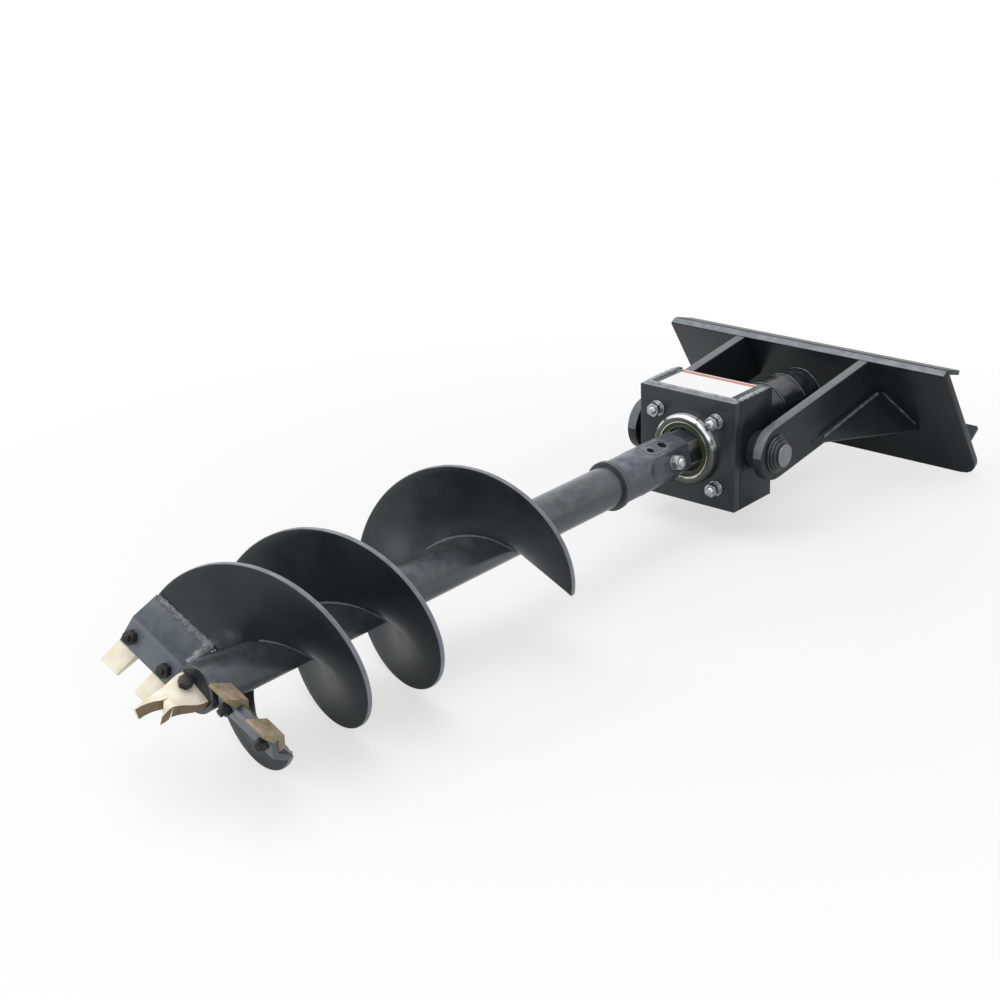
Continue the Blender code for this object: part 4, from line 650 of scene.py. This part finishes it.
# %% Hub body
HUB_TURN = math.radians(18)
HUB_UP = clock(HUB_TURN)
HUB_CORNER = clock(HUB_TURN + math.pi / 6)
HUB_FLATS = 0.074
FLARE_STEP = 0.0042
FLARE_GROWTH = 0.0042
hub_line = [(-0.0425, 0), (-0.0425, 0.0412), (-0.0436, 0.0424), (-0.1400, 0.0424), (-0.1560, 0.0405),
            (-0.1700, 0.0396), (-0.2217, 0.0395), (-0.2223, 0.0388), (-0.2223, 0)]
hub = axial("hub", hub_line)
prism = plate("prism", hexagon_at(at(0, 0.01, 0), ALONG, HUB_FLATS, HUB_CORNER), Vector((0, -0.146, 0)))
bpy.ops.object.mode_set(mode="EDIT")
bpy.ops.mesh.select_all(action="DESELECT")
bpy.ops.object.mode_set(mode="OBJECT")
for face in prism.data.polygons:
    face.select = face.normal.y < -0.9
bpy.ops.object.mode_set(mode="EDIT")
for step in range(1, 8):
    bpy.ops.mesh.extrude_region_move(TRANSFORM_OT_translate={"value": (0, -FLARE_STEP, 0)})
    grow = 1 + FLARE_GROWTH * step
    bpy.ops.transform.resize(value=(grow, 1, grow), center_override=at(0, -0.15, 0))
bpy.ops.mesh.extrude_region_move(TRANSFORM_OT_translate={"value": (0, -0.07, 0)})
bpy.ops.object.mode_set(mode="OBJECT")
outward(prism)
combine(hub, prism, "INTERSECT")
HUB_HOLES = ((-0.0915, 0.008), (-0.1245, 0.0065))
for along, radius in HUB_HOLES:
    combine(hub, rod("cut", radius, at(0, along, 0), HUB_UP, 0.026, 0.06), "DIFFERENCE")
bevelled(hub, 0.0008, 2, 20)
finished(hub, "auger", hub_paint, stands_for=("auger_hub",), smooth=22)
# A thin ring at the hub's end gets the pale finish: a painted highlight on its edge.
second_finish(hub, rim_paint, lambda middle, normal: abs(middle.y - at(0, -0.0430, 0).y) < 0.0007)


# %% Raised oblong frame on the hub's flat
def capsule(middle, across, along, half_width, half_length, steps=12):
    """Points of a round-ended slot."""
    points = []
    reach = half_length - half_width
    for end in (1, -1):
        for k in range(steps + 1):
            angle = math.pi * k / steps
            points.append(middle + along * end * (reach + half_width * math.sin(angle))
                          + across * end * half_width * math.cos(angle))
    return points


FRAME_SPOT = at(0, -0.108, 0)
FRAME_WIDTH = 0.0022
hub_side = HUB_UP.cross(ALONG).normalized()
oblong = plate("hub_frame", capsule(FRAME_SPOT + HUB_UP * 0.0362, hub_side, ALONG, 0.0150, 0.0295),
               HUB_UP * 0.0020)
inside = plate("inside", capsule(FRAME_SPOT + HUB_UP * 0.0350, hub_side, ALONG,
                                 0.0150 - FRAME_WIDTH, 0.0295 - FRAME_WIDTH), HUB_UP * 0.0060)
combine(oblong, inside, "DIFFERENCE")
bevelled(oblong, 0.0005, 2, 30)
# The raised frame is painted pale all over: a painted highlight.
finished(oblong, "auger", rim_paint)

# %% Output shaft: the hexagonal shoulder that shows behind the hub
SHAFT_FLATS = 0.067
shoulder = plate("shaft_shoulder", hexagon_at(at(0, -0.0060, 0), ALONG, SHAFT_FLATS, HUB_CORNER),
                 Vector((0, -0.0362, 0)))
bevelled(shoulder, 0.0010, 2, 30)
finished(shoulder, "auger", hub_paint)
print("hub done")

# %% [markdown]
# ## Screws, washers and nuts
# A nut is a six-sided prism whose corners are turned off round, which leaves the
# arcs that every real nut shows. Threads are turned as ridges, which is enough at
# this size.


# %% Fastener tools
ARC_SLOPE = 0.62  # height over depth of the turned-off corners


def nut(name, centre, way, low, high, flats, hole=0.0):
    """A hexagon nut with rounded-off corners between two heights along the way."""
    way = Vector(way).normalized()
    corner = flats / 2 / math.cos(math.pi / 6)
    corners = hexagon_at(Vector(centre) + way * low, way, flats, way.orthogonal())
    piece = plate(name, corners, way * (high - low))
    cut = (corner - flats / 2) * ARC_SLOPE
    dome = turned("dome", [(low - 0.001, 0), (low - 0.001, flats / 2 * 0.96), (low, flats / 2 * 0.98),
                           (low + cut, corner * 1.001), (high - cut, corner * 1.001),
                           (high, flats / 2 * 0.96), (high + 0.001, flats / 2 * 0.90),
                           (high + 0.001, 0)], centre, way, 60)
    combine(piece, dome, "INTERSECT")
    if hole:
        combine(piece, rod("cut", hole, centre, way, low - 0.01, high + 0.01, 40), "DIFFERENCE")
    return bevelled(piece, 0.0003, 2, 25)


def washer(name, centre, way, low, high, outer, hole):
    edge = min(0.0004, (high - low) / 4)
    return turned(name, [(low, hole), (low, outer - edge), (low + edge, outer), (high - edge, outer),
                         (high, outer - edge), (high, hole), (low, hole)], centre, way, 48)


def threaded(name, centre, way, low, high, radius, pitch=0.002, depth=0.0008):
    """A bar whose side is ridged like a screw thread, with a chamfered end."""
    points = [(low, 0), (low, radius - depth)]
    along = low + pitch * 0.5
    while along + pitch < high - pitch * 0.5:
        points.append((along, radius - depth))
        points.append((along + pitch * 0.5, radius))
        along += pitch
    points += [(high - pitch * 0.6, radius - depth * 0.5), (high - pitch * 0.2, radius - depth * 1.4),
               (high, radius - depth * 3), (high, 0)]
    return turned(name, points, centre, way, 40)


# %% Studs of the front plate
# each part of a stud as (start, end, size across, hole), measured from the plate's face
STUD_WASHER = (0.0002, 0.0028, 0.014, 0.0072)
STUD_SPRING = (0.0031, 0.0062, 0.0118, 0.0072)
STUD_NUT = (0.0065, 0.0185, 0.022, 0.0071)
stud_low, stud_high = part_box("housing_stud_top_right")
STUD_REACH = (stud_low[0] + stud_high[0]) / 2
for row, up in (("top", 1), ("bottom", -1)):
    for label, side in (("left", -1), ("right", 1)):
        node = "housing_stud_" + row + "_" + label
        spot = at(side * STUD_REACH, 0, up * STUD_REACH)
        finished(threaded(node + "_thread", spot, TIPWARD, -0.028, 0.0263, 0.007), "drive", zinc,
                 stands_for=(node,))
        for part, tool, measures in (("_washer", washer, STUD_WASHER), ("_spring", washer, STUD_SPRING),
                                     ("_nut", nut, STUD_NUT)):
            finished(tool(node + part, spot, TIPWARD, *measures), "drive", zinc)
print("studs at", round(STUD_REACH, 4))

# %% The bolt across the hub
BOLT_WAY = clock(HUB_TURN + math.radians(60))
spot = at(0, -0.090, 0)
BOLT_WASHER = (0.0372, 0.0402, 0.013, 0.0082)
finished(threaded("cross_bolt_thread", spot, BOLT_WAY, 0.030, 0.059, 0.008), "auger", zinc,
         stands_for=("hub_bolt",))
finished(washer("cross_bolt_washer", spot, BOLT_WAY, *BOLT_WASHER), "auger", zinc)
finished(nut("cross_bolt_nut", spot, BOLT_WAY, 0.0402, 0.0530, 0.024, 0.0081), "auger", zinc,
         stands_for=("hub_bolt_nut",))
finished(nut("cross_bolt_head", spot, -BOLT_WAY, 0.0402, 0.0500, 0.024), "auger", zinc)
finished(washer("cross_bolt_head_washer", spot, -BOLT_WAY, *BOLT_WASHER), "auger", zinc)
print("hub bolt done")

# %% [markdown]
# ## The bearing nose and its seal
# Behind the hub, the bearing housing's bright nose stands out of the front
# plate, rounded on its outer rim. An olive-plated ring sits inside it and holds
# the rubber seal.

# %% Nose, seal ring and seal
NOSE_ROUND = 0.0064
rim_points = [(0.0005, 0.0505), (-0.0121, 0.0505), (-0.0131, 0.0520), (-0.0134, 0.0560)]
for k in range(9):
    angle = math.radians(11.25 * k)
    rim_points.append((-0.0134 + NOSE_ROUND * (1 - math.cos(angle)), 0.0579 + NOSE_ROUND * math.sin(angle)))
rim_points += [(0.0005, 0.0643), (0.0005, 0.0505)]
# The nose's upward faces are painted near white: a painted highlight on its top.
finished(axial("bearing_nose", rim_points, 128), "drive", nose_steel)
ring_line = [(-0.0095, 0.0402), (-0.0098, 0.0412), (-0.0092, 0.0425), (-0.0092, 0.0455), (-0.0100, 0.0465),
             (-0.0100, 0.0490), (-0.0092, 0.0499), (0.012, 0.0499), (0.012, 0.0402), (-0.0095, 0.0402)]
finished(axial("seal_ring", ring_line, 128), "drive", olive_zinc, stands_for=("seal_carrier",))
lip_line = [(-0.0045, 0.0310), (-0.0045, 0.0350), (-0.0035, 0.0370), (-0.0045, 0.0396), (0.0045, 0.0396),
            (0.0045, 0.0310), (-0.0045, 0.0310)]
finished(axial("seal_lip", lip_line), "drive", seal_rubber, stands_for=("shaft_seal",))
print("nose done")

# %% [markdown]
# ## Flat plates
# The box, the arms and the hitch plate are cut from steel plate. Their CAD
# solids already have the right outline, so a clean copy of each gets slightly
# rounded edges, which catch the light as real cut edges do. Faces that look at
# the sky get a paler finish: a painted highlight. Shaded ones get painted shade.


# %% Box, arms, plate and gussets
def faces_to(piece, look, way, cosine):
    """Faces that point a given way get a second finish."""
    way = Vector(way).normalized()
    return second_finish(piece, look, lambda middle, normal: normal.dot(way) > cosine)


for node in ("box_side_plate_left", "box_top_plate", "box_bottom_plate", "box_rear_plate"):
    dressed(node, "drive", black_paint, 0.0012)
# The right side plate wears the darker copy of the paint: painted shade.
dressed("box_side_plate_right", "drive", dark_paint, 0.0012)
# The front plate's upward faces and the hitch plate's upper faces get the pale finish: painted highlights.
faces_to(dressed("box_front_plate", "drive", black_paint, 0.0022), rim_paint, UP, 0.94)
# The gussets, hook lip, ledge, arms and hitch plate wear the same painted shade.
for node in ("hitch_gusset_left", "hitch_gusset_right", "hitch_hook_lip", "hitch_lower_ledge"):
    dressed(node, "hitch_frame", dark_paint, 0.001)
# The arms' faces that look up get a lighter grey: painted light.
for node in ("hitch_arm_left", "hitch_arm_right"):
    faces_to(dressed(node, "hitch_frame", dark_paint, 0.0016), strip_paint, (0, -0.5, 1), 0.55)
faces_to(dressed("hitch_plate", "hitch_frame", dark_paint, 0.0016), rim_paint, (0, -0.54, 0.84), 0.9)
print("plates done")

# %% [markdown]
# ## The swing joint
# A trunnion stands out of each side of the box, runs in a bronze bush in the
# arm and ends in a stack of stepped rings that clamp it, so the drive stays at
# the angle it is left at.

# %% Trunnions, rings and bushes
RING_STEPS = ((0.1453, 0.0345), (0.1499, 0.0305), (0.1545, 0.0270))
for side, label in ((1, "right"), (-1, "left")):
    way = Vector((side, 0, 0))
    pin = turned("trunnion_" + label + "_turned",
                 [(0.082, 0), (0.082, 0.0208), (0.1019, 0.0208), (0.1019, 0.0330), (0.1029, 0.0340),
                  (0.1244, 0.0340), (0.1254, 0.0330), (0.1254, 0.0208), (0.1622, 0.0208), (0.1634, 0.0204),
                  (0.1640, 0.0192), (0.1640, 0.0172), (0.1636, 0.0168), (0.1636, 0)], PIVOT, way)
    finished(pin, "drive", black_paint, stands_for=("trunnion_" + label,))
    faces_to(pin, pin_steel, way, 0.2)
    points = [(RING_STEPS[0][0], 0.0210)]
    for start, radius in RING_STEPS:
        points += [(start, radius - 0.0011), (start + 0.0007, radius - 0.0001), (start + 0.0018, radius),
                   (start + 0.0030, radius - 0.0002), (start + 0.0040, radius - 0.0012),
                   (start + 0.0045, radius - 0.0030)]
    points += [(0.1591, 0.0210), points[0]]
    finished(turned("clamp_rings_" + label, points, PIVOT, way), "drive", ring_paint,
             stands_for=("friction_collar_" + label,))
    finished(turned("bush_" + label + "_turned",
                    [(0.1260, 0.0212), (0.1260, 0.0240), (0.1450, 0.0240), (0.1450, 0.0212),
                     (0.1260, 0.0212)], PIVOT, way), "hitch_frame", bronze,
             stands_for=("pivot_bush_" + label,))
print("swing joint done")

# %% [markdown]
# ## Cutting head
# Two bent holders are welded to the front edges of the flights. Each carries
# two cast teeth, bolted to its back. The fishtail pilot in the middle keeps the
# hole straight.

# %% Holders, teeth and bolts
def head_point(side, out, ahead, drop):
    """A point from the middle of a holder's weld line: outwards, into the cut, and towards the tip."""
    return at(0, HEAD_ALONG - drop, 0) + side * (OUT * out + AHEAD * (ahead - HEAD_SETBACK))


HOLDER_FRONT_SLOPE = math.radians(20)
# All teeth have the same real finish. The right holder's teeth get a darker tan copy of it: painted shade.
for label, side, tooth_look in (("left", 1, cream_zinc), ("right", -1, tan_zinc)):
    front = side * AHEAD * math.sin(HOLDER_FRONT_SLOPE) + ALONG * math.cos(HOLDER_FRONT_SLOPE)
    # The holder's front faces get the lighter copy of its paint: painted light.
    second_finish(dressed("tooth_holder_" + label, "auger", holder_paint, 0.0012), holder_front,
                  lambda middle, normal: abs(normal.dot(front)) > 0.97)
    for place in ("outer", "inner"):
        dressed("tooth_" + place + "_" + label, "auger", tooth_look, 0.0022)
        dressed("tooth_bolt_" + place + "_" + label, "auger", black_bolt, 0.0006)
dressed("pilot_socket", "auger", black_paint, 0)
dressed("pilot_bolt", "auger", black_bolt, 0.0006)
print("holders done")

# %% Fishtail pilot
# The pilot's blade is cast in a twist: one prong reaches ahead, the other one
# turns down to a point beside it.
PILOT_WAY = clock(math.radians(122))
PILOT_FACE = clock(math.radians(32))
PILOT_ALONG = -1.156
PILOT_ROOT = at(0, PILOT_ALONG, 0)
pilot = dressed("pilot_point", "auger", cream_zinc, 0.0015)
PRONG_START = 0.058
PRONG_LENGTH = 0.036
for corner in pilot.data.vertices:
    place = corner.co - PILOT_ROOT
    beyond = max(0, -place.y - PRONG_START)
    across = place.dot(PILOT_WAY)
    if across > 0.0005:
        narrow = -(across - 0.013) * 0.72 * beyond / PRONG_LENGTH
        corner.co += PILOT_WAY * narrow - PILOT_FACE * beyond * 0.85 + ALONG * beyond * 0.80
    else:
        corner.co += ALONG * beyond * 0.24 + PILOT_WAY * beyond * 0.10
# The pilot's sides, its underside and its down-turned prong get a tan-brown finish: painted shade.
second_finish(pilot, rust_band, lambda middle, normal: normal.dot(PILOT_WAY) > 0.45
              or normal.dot(PILOT_FACE) < -0.6 or (middle - PILOT_ROOT).dot(PILOT_WAY) > 0.003
              and PILOT_ROOT.y - middle.y > PRONG_START + 0.006)
print("head done")

# %% [markdown]
# ## Welds
# A weld bead is a row of small overlapping ripples. Each is a flat grid rolled
# into a tube along a path, thinner and thicker in turn, that closes at both ends.


# %% Beads
CLOSING_ROWS = 4


# A bead's usual finish is the pale weld finish: a painted highlight along it.
def bead(name, path, radius, body, finish_look=weld_highlight_look, ripple=0.0032, depth=0.14):
    """A rippled tube along a path of points."""
    path = [Vector(point) for point in path]
    lengths = [0.0]
    for start, end in zip(path, path[1:]):
        lengths.append(lengths[-1] + (end - start).length)
    whole = lengths[-1]
    rows = max(10, round(whole / ripple * 4))

    def place(across, along):
        spot = along * whole
        k = max(0, min(len(path) - 2, sum(1 for length in lengths[1:] if length < spot)))
        start, end = path[k], path[k + 1]
        way = (end - start).normalized()
        middle = start + way * (spot - lengths[k])
        side = way.cross(UP if abs(way.z) < 0.9 else ALONG).normalized()
        other = way.cross(side)
        uneven = 0.10 * math.sin(spot * 410 + across * 5)
        wave = 1 + depth * math.sin(math.tau * spot / ripple) + uneven
        from_end = rows * min(along, 1 - along)
        close = min(1, math.sqrt(max(0, from_end / CLOSING_ROWS)))
        angle = math.tau * across
        return middle + (side * math.cos(angle) + other * math.sin(angle)) * radius * wave * close

    piece = wound(name, 10, rows, place)
    outward(piece)
    return finished(piece, body, finish_look, smooth=60)


UPPER_SLOPE = math.radians(56)
# The head's welds carry the pale weld finish: painted highlights.
for side, label in ((1, "left"), (-1, "right")):
    bead("head_weld_" + label,
         [head_point(side, out, 0.0022, 0.0034) for out in (0.030, 0.090, 0.149)], 0.0072, "auger")
    bead("head_inner_weld_" + label,
         [head_point(side, 0.0375, reach * math.cos(UPPER_SLOPE), reach * math.sin(UPPER_SLOPE))
          for reach in (-0.002, 0.022, 0.044)], 0.0078, "auger")
for label, top, first, last in (("main", MAIN_TOP, -160, 474), ("second", MAIN_TOP - PITCH / 2, 20, 294)):
    for face, shift in (("front", -0.0058), ("rear", 0.0058)):
        turns = [math.radians(first + 6 * k) for k in range(int((last - first) / 6) + 1)]
        bead(label + "_root_weld_" + face,
             [at(0, top + PITCH * turn / math.tau + shift, 0) + clock(turn) * (STEM + 0.0006)
              for turn in turns], 0.0034, "auger", stem_paint)
top_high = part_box("box_top_plate")[1]
BOX_TOP = top_high[2]
BOX_REAR = top_high[1]
# The welds along the box's top edges carry the pale weld finish: painted highlights on those edges.
for side, label in ((1, "right"), (-1, "left")):
    bead("box_top_weld_" + label,
         [Vector((side * (BOX_HALF - 0.0050), AXIS.y + 0.017, BOX_TOP - 0.0012)),
          Vector((side * (BOX_HALF - 0.0050), BOX_REAR - 0.004, BOX_TOP - 0.0012))], 0.0044, "drive")
bead("box_front_weld", [Vector((-BOX_HALF + 0.006, AXIS.y + 0.0162, BOX_TOP - 0.0010)),
                        Vector((BOX_HALF - 0.006, AXIS.y + 0.0162, BOX_TOP - 0.0010))], 0.0034, "drive")
ARM_FACE = 0.1453
GUSSET_REACH = 0.055
GUSSET_LIFT = 0.0062
front_point, rear_point, outer_point = (0.209, -0.016), (0.412, 0.017), (0.463, -0.057)
for side, label in ((1, "right"), (-1, "left")):
    arm_front = at(side * ARM_FACE, *front_point)
    arm_rear = at(side * ARM_FACE, *rear_point)
    plate_end = at(side * (ARM_FACE + GUSSET_REACH), *outer_point)
    above = (arm_rear - arm_front).cross(plate_end - arm_front).normalized()
    above *= math.copysign(GUSSET_LIFT, above.z)
    arm_front, arm_rear, plate_end = arm_front + above, arm_rear + above, plate_end + above
    for name, start, end, first, last in (("arm", arm_front, arm_rear, 0.02, 0.96),
                                          ("plate", arm_rear, plate_end, 0.05, 0.94)):
        bead("gusset_" + name + "_weld_" + label, [start.lerp(end, first), start.lerp(end, last)], 0.0030,
             "hitch_frame", dust_weld, 0.0045)
print("welds done")

# %% [markdown]
# ## Label
# A white sticker with a salmon stripe lies on the box's top plate. The stripe is
# a second thin sheet just above the white one, so the two never share a face.

# %% Label on the box
LABEL_HALF = 0.077
label_front, label_rear = AXIS.y + 0.0225, BOX_REAR - 0.0015
SHEET = 0.0004


def sheet(name, front, rear, low, finish_look):
    corners = [Vector((side * LABEL_HALF, along, low)) for side, along in
               ((-1, front), (1, front), (1, rear), (-1, rear))]
    return finished(plate(name, corners, Vector((0, 0, SHEET))), "drive", finish_look)


sheet("label", label_front, label_rear, BOX_TOP + 0.0002, label_white)
sheet("label_stripe", label_rear - 0.013, label_rear - 0.004, BOX_TOP + 0.0007, label_salmon)
print("label from", round(label_front, 4), "to", round(label_rear, 4))

# %% [markdown]
# ## Hidden pieces
# The motor, the bearings and the shaft inside can't be seen, so they keep their
# CAD shape and only get the finish that their metal has.

# %% Finishes of the hidden pieces
for node, node_look in (("motor_front_housing", black_paint), ("motor_gear_ring", ground_steel),
                        ("motor_end_cover", black_paint), ("bearing_housing", ground_steel),
                        ("front_bearing_cup", ground_steel), ("rear_bearing_cup", ground_steel),
                        ("front_bearing_cone", ground_steel), ("rear_bearing_cone", ground_steel),
                        ("front_bearing_rollers", ground_steel), ("rear_bearing_rollers", ground_steel),
                        ("output_shaft", ground_steel), ("shaft_lock_nut", black_bolt),
                        ("drive_coupling", dull_steel)):
    mesh = frame["nodes"][node].data
    mesh.materials.clear()
    mesh.materials.append(node_look)
print("hidden pieces done")

# %% [markdown]
# ## Film over the motor
# The motor is wrapped in thin black film for transport. The film hangs from the
# flange to the motor's body, stands up in a ridge over each joint and is
# crinkled all over. It starts as a turned shell, and noise then moves its skin.

# %% Film
film_line = [(0.1195, 0.0685), (0.126, 0.0672), (0.134, 0.0632), (0.143, 0.0580), (0.153, 0.0540),
             (0.165, 0.0515), (0.180, 0.0508), (0.200, 0.0505), (0.220, 0.0505), (0.236, 0.0506),
             (0.242, 0.0512), (0.245, 0.0525), (0.248, 0.0512), (0.254, 0.0506), (0.270, 0.0504),
             (0.290, 0.0504), (0.302, 0.0506), (0.307, 0.0514), (0.309, 0.0525), (0.312, 0.0512),
             (0.318, 0.0505), (0.335, 0.0502), (0.352, 0.0502), (0.360, 0.0504), (0.3635, 0.0500),
             (0.3662, 0.0478), (0.3668, 0.0450), (0.3668, 0.0300), (0.3668, 0.0150), (0.3668, 0.0001)]
film = axial("film", film_line, 160)
CRINKLE_HEIGHT = 0.0022
FILM_WALL = 0.0008
crinkle = bpy.data.textures.new("crinkle", "CLOUDS")
crinkle.noise_scale = 0.014
crinkle.noise_depth = 3
folds = film.modifiers.new("folds", "DISPLACE")
folds.texture = crinkle
folds.strength = CRINKLE_HEIGHT
folds.mid_level = 0.6
folds.texture_coords = "LOCAL"
apply_all(film)
wall = film.modifiers.new("thickness", "SOLIDIFY")
wall.thickness = FILM_WALL
wall.offset = -1
apply_all(film)
finished(film, "drive", film_black, stands_for=("motor_film_wrap",), smooth=50)
# name, place along the axis, radius, and the turns in degrees that each crease's painted highlight spans
CREASES = (("front", 0.2452, 0.0527, -35, 70), ("middle", 0.3090, 0.0527, -20, 75),
           ("rear", 0.3660, 0.0490, -45, 80), ("flange", 0.1265, 0.0676, 10, 60))
# Each crease is a thin pale bead: a painted highlight along the film's ridge.
for name, along, radius, first, last in CREASES:
    bead("film_crease_highlight_" + name,
         [at(0, along + 0.0012 * math.sin(angle / 9), 0) + clock(math.radians(angle)) * radius
          for angle in range(first, last, 5)], 0.0008, "drive", rim_paint, 0.006, 0.5)
print("film done, creases:", len(CREASES))

# %% [markdown]
# ## Floor
# The floor takes the object's soft shadow. Away from the object it blends to
# white, but only for the camera, so it throws no extra light on the object.

# %% Floor
BLEND_START, BLEND_END = 0.55, 1.5
WHITE_NEAR_OBJECT = 0.62
nothing_selected()
bpy.ops.mesh.primitive_plane_add(size=14, location=(0, 0, 0))
floor = bpy.context.object
floor.name = "floor"
floor_look = bpy.data.materials.new("pale_floor")
floor_look.use_nodes = True
floor_tree = floor_look.node_tree
link = floor_tree.links.new
shader = floor_tree.nodes["Principled BSDF"]
shader.inputs["Roughness"].default_value = 0.9
mottle = add_node(floor_tree, "ShaderNodeTexNoise", (("Scale", 3),))
ramp = add_node(floor_tree, "ShaderNodeMix", data_type="RGBA")
ramp.inputs["A"].default_value = (0.90, 0.90, 0.90, 1)
ramp.inputs["B"].default_value = (0.94, 0.94, 0.94, 1)
link(mottle.outputs["Fac"], ramp.inputs["Factor"])
link(ramp.outputs["Result"], shader.inputs["Base Color"])
place = add_node(floor_tree, "ShaderNodeTexCoord")
reach = add_node(floor_tree, "ShaderNodeVectorMath", operation="LENGTH")
far = add_node(floor_tree, "ShaderNodeMapRange", (("From Min", BLEND_START), ("From Max", BLEND_END),
                                                  ("To Min", WHITE_NEAR_OBJECT)))
seen = add_node(floor_tree, "ShaderNodeLightPath")
amount = add_node(floor_tree, "ShaderNodeMath", operation="MULTIPLY")
white = add_node(floor_tree, "ShaderNodeEmission")
blend = add_node(floor_tree, "ShaderNodeMixShader")
link(place.outputs["Object"], reach.inputs[0])
link(reach.outputs["Value"], far.inputs["Value"])
link(far.outputs[0], amount.inputs[0])
link(seen.outputs["Is Camera Ray"], amount.inputs[1])
link(amount.outputs[0], blend.inputs["Fac"])
link(shader.outputs[0], blend.inputs[1])
link(white.outputs[0], blend.inputs[2])
link(blend.outputs[0], floor_tree.nodes["Material Output"].inputs["Surface"])
floor.data.materials.append(floor_look)
print("floor ready")
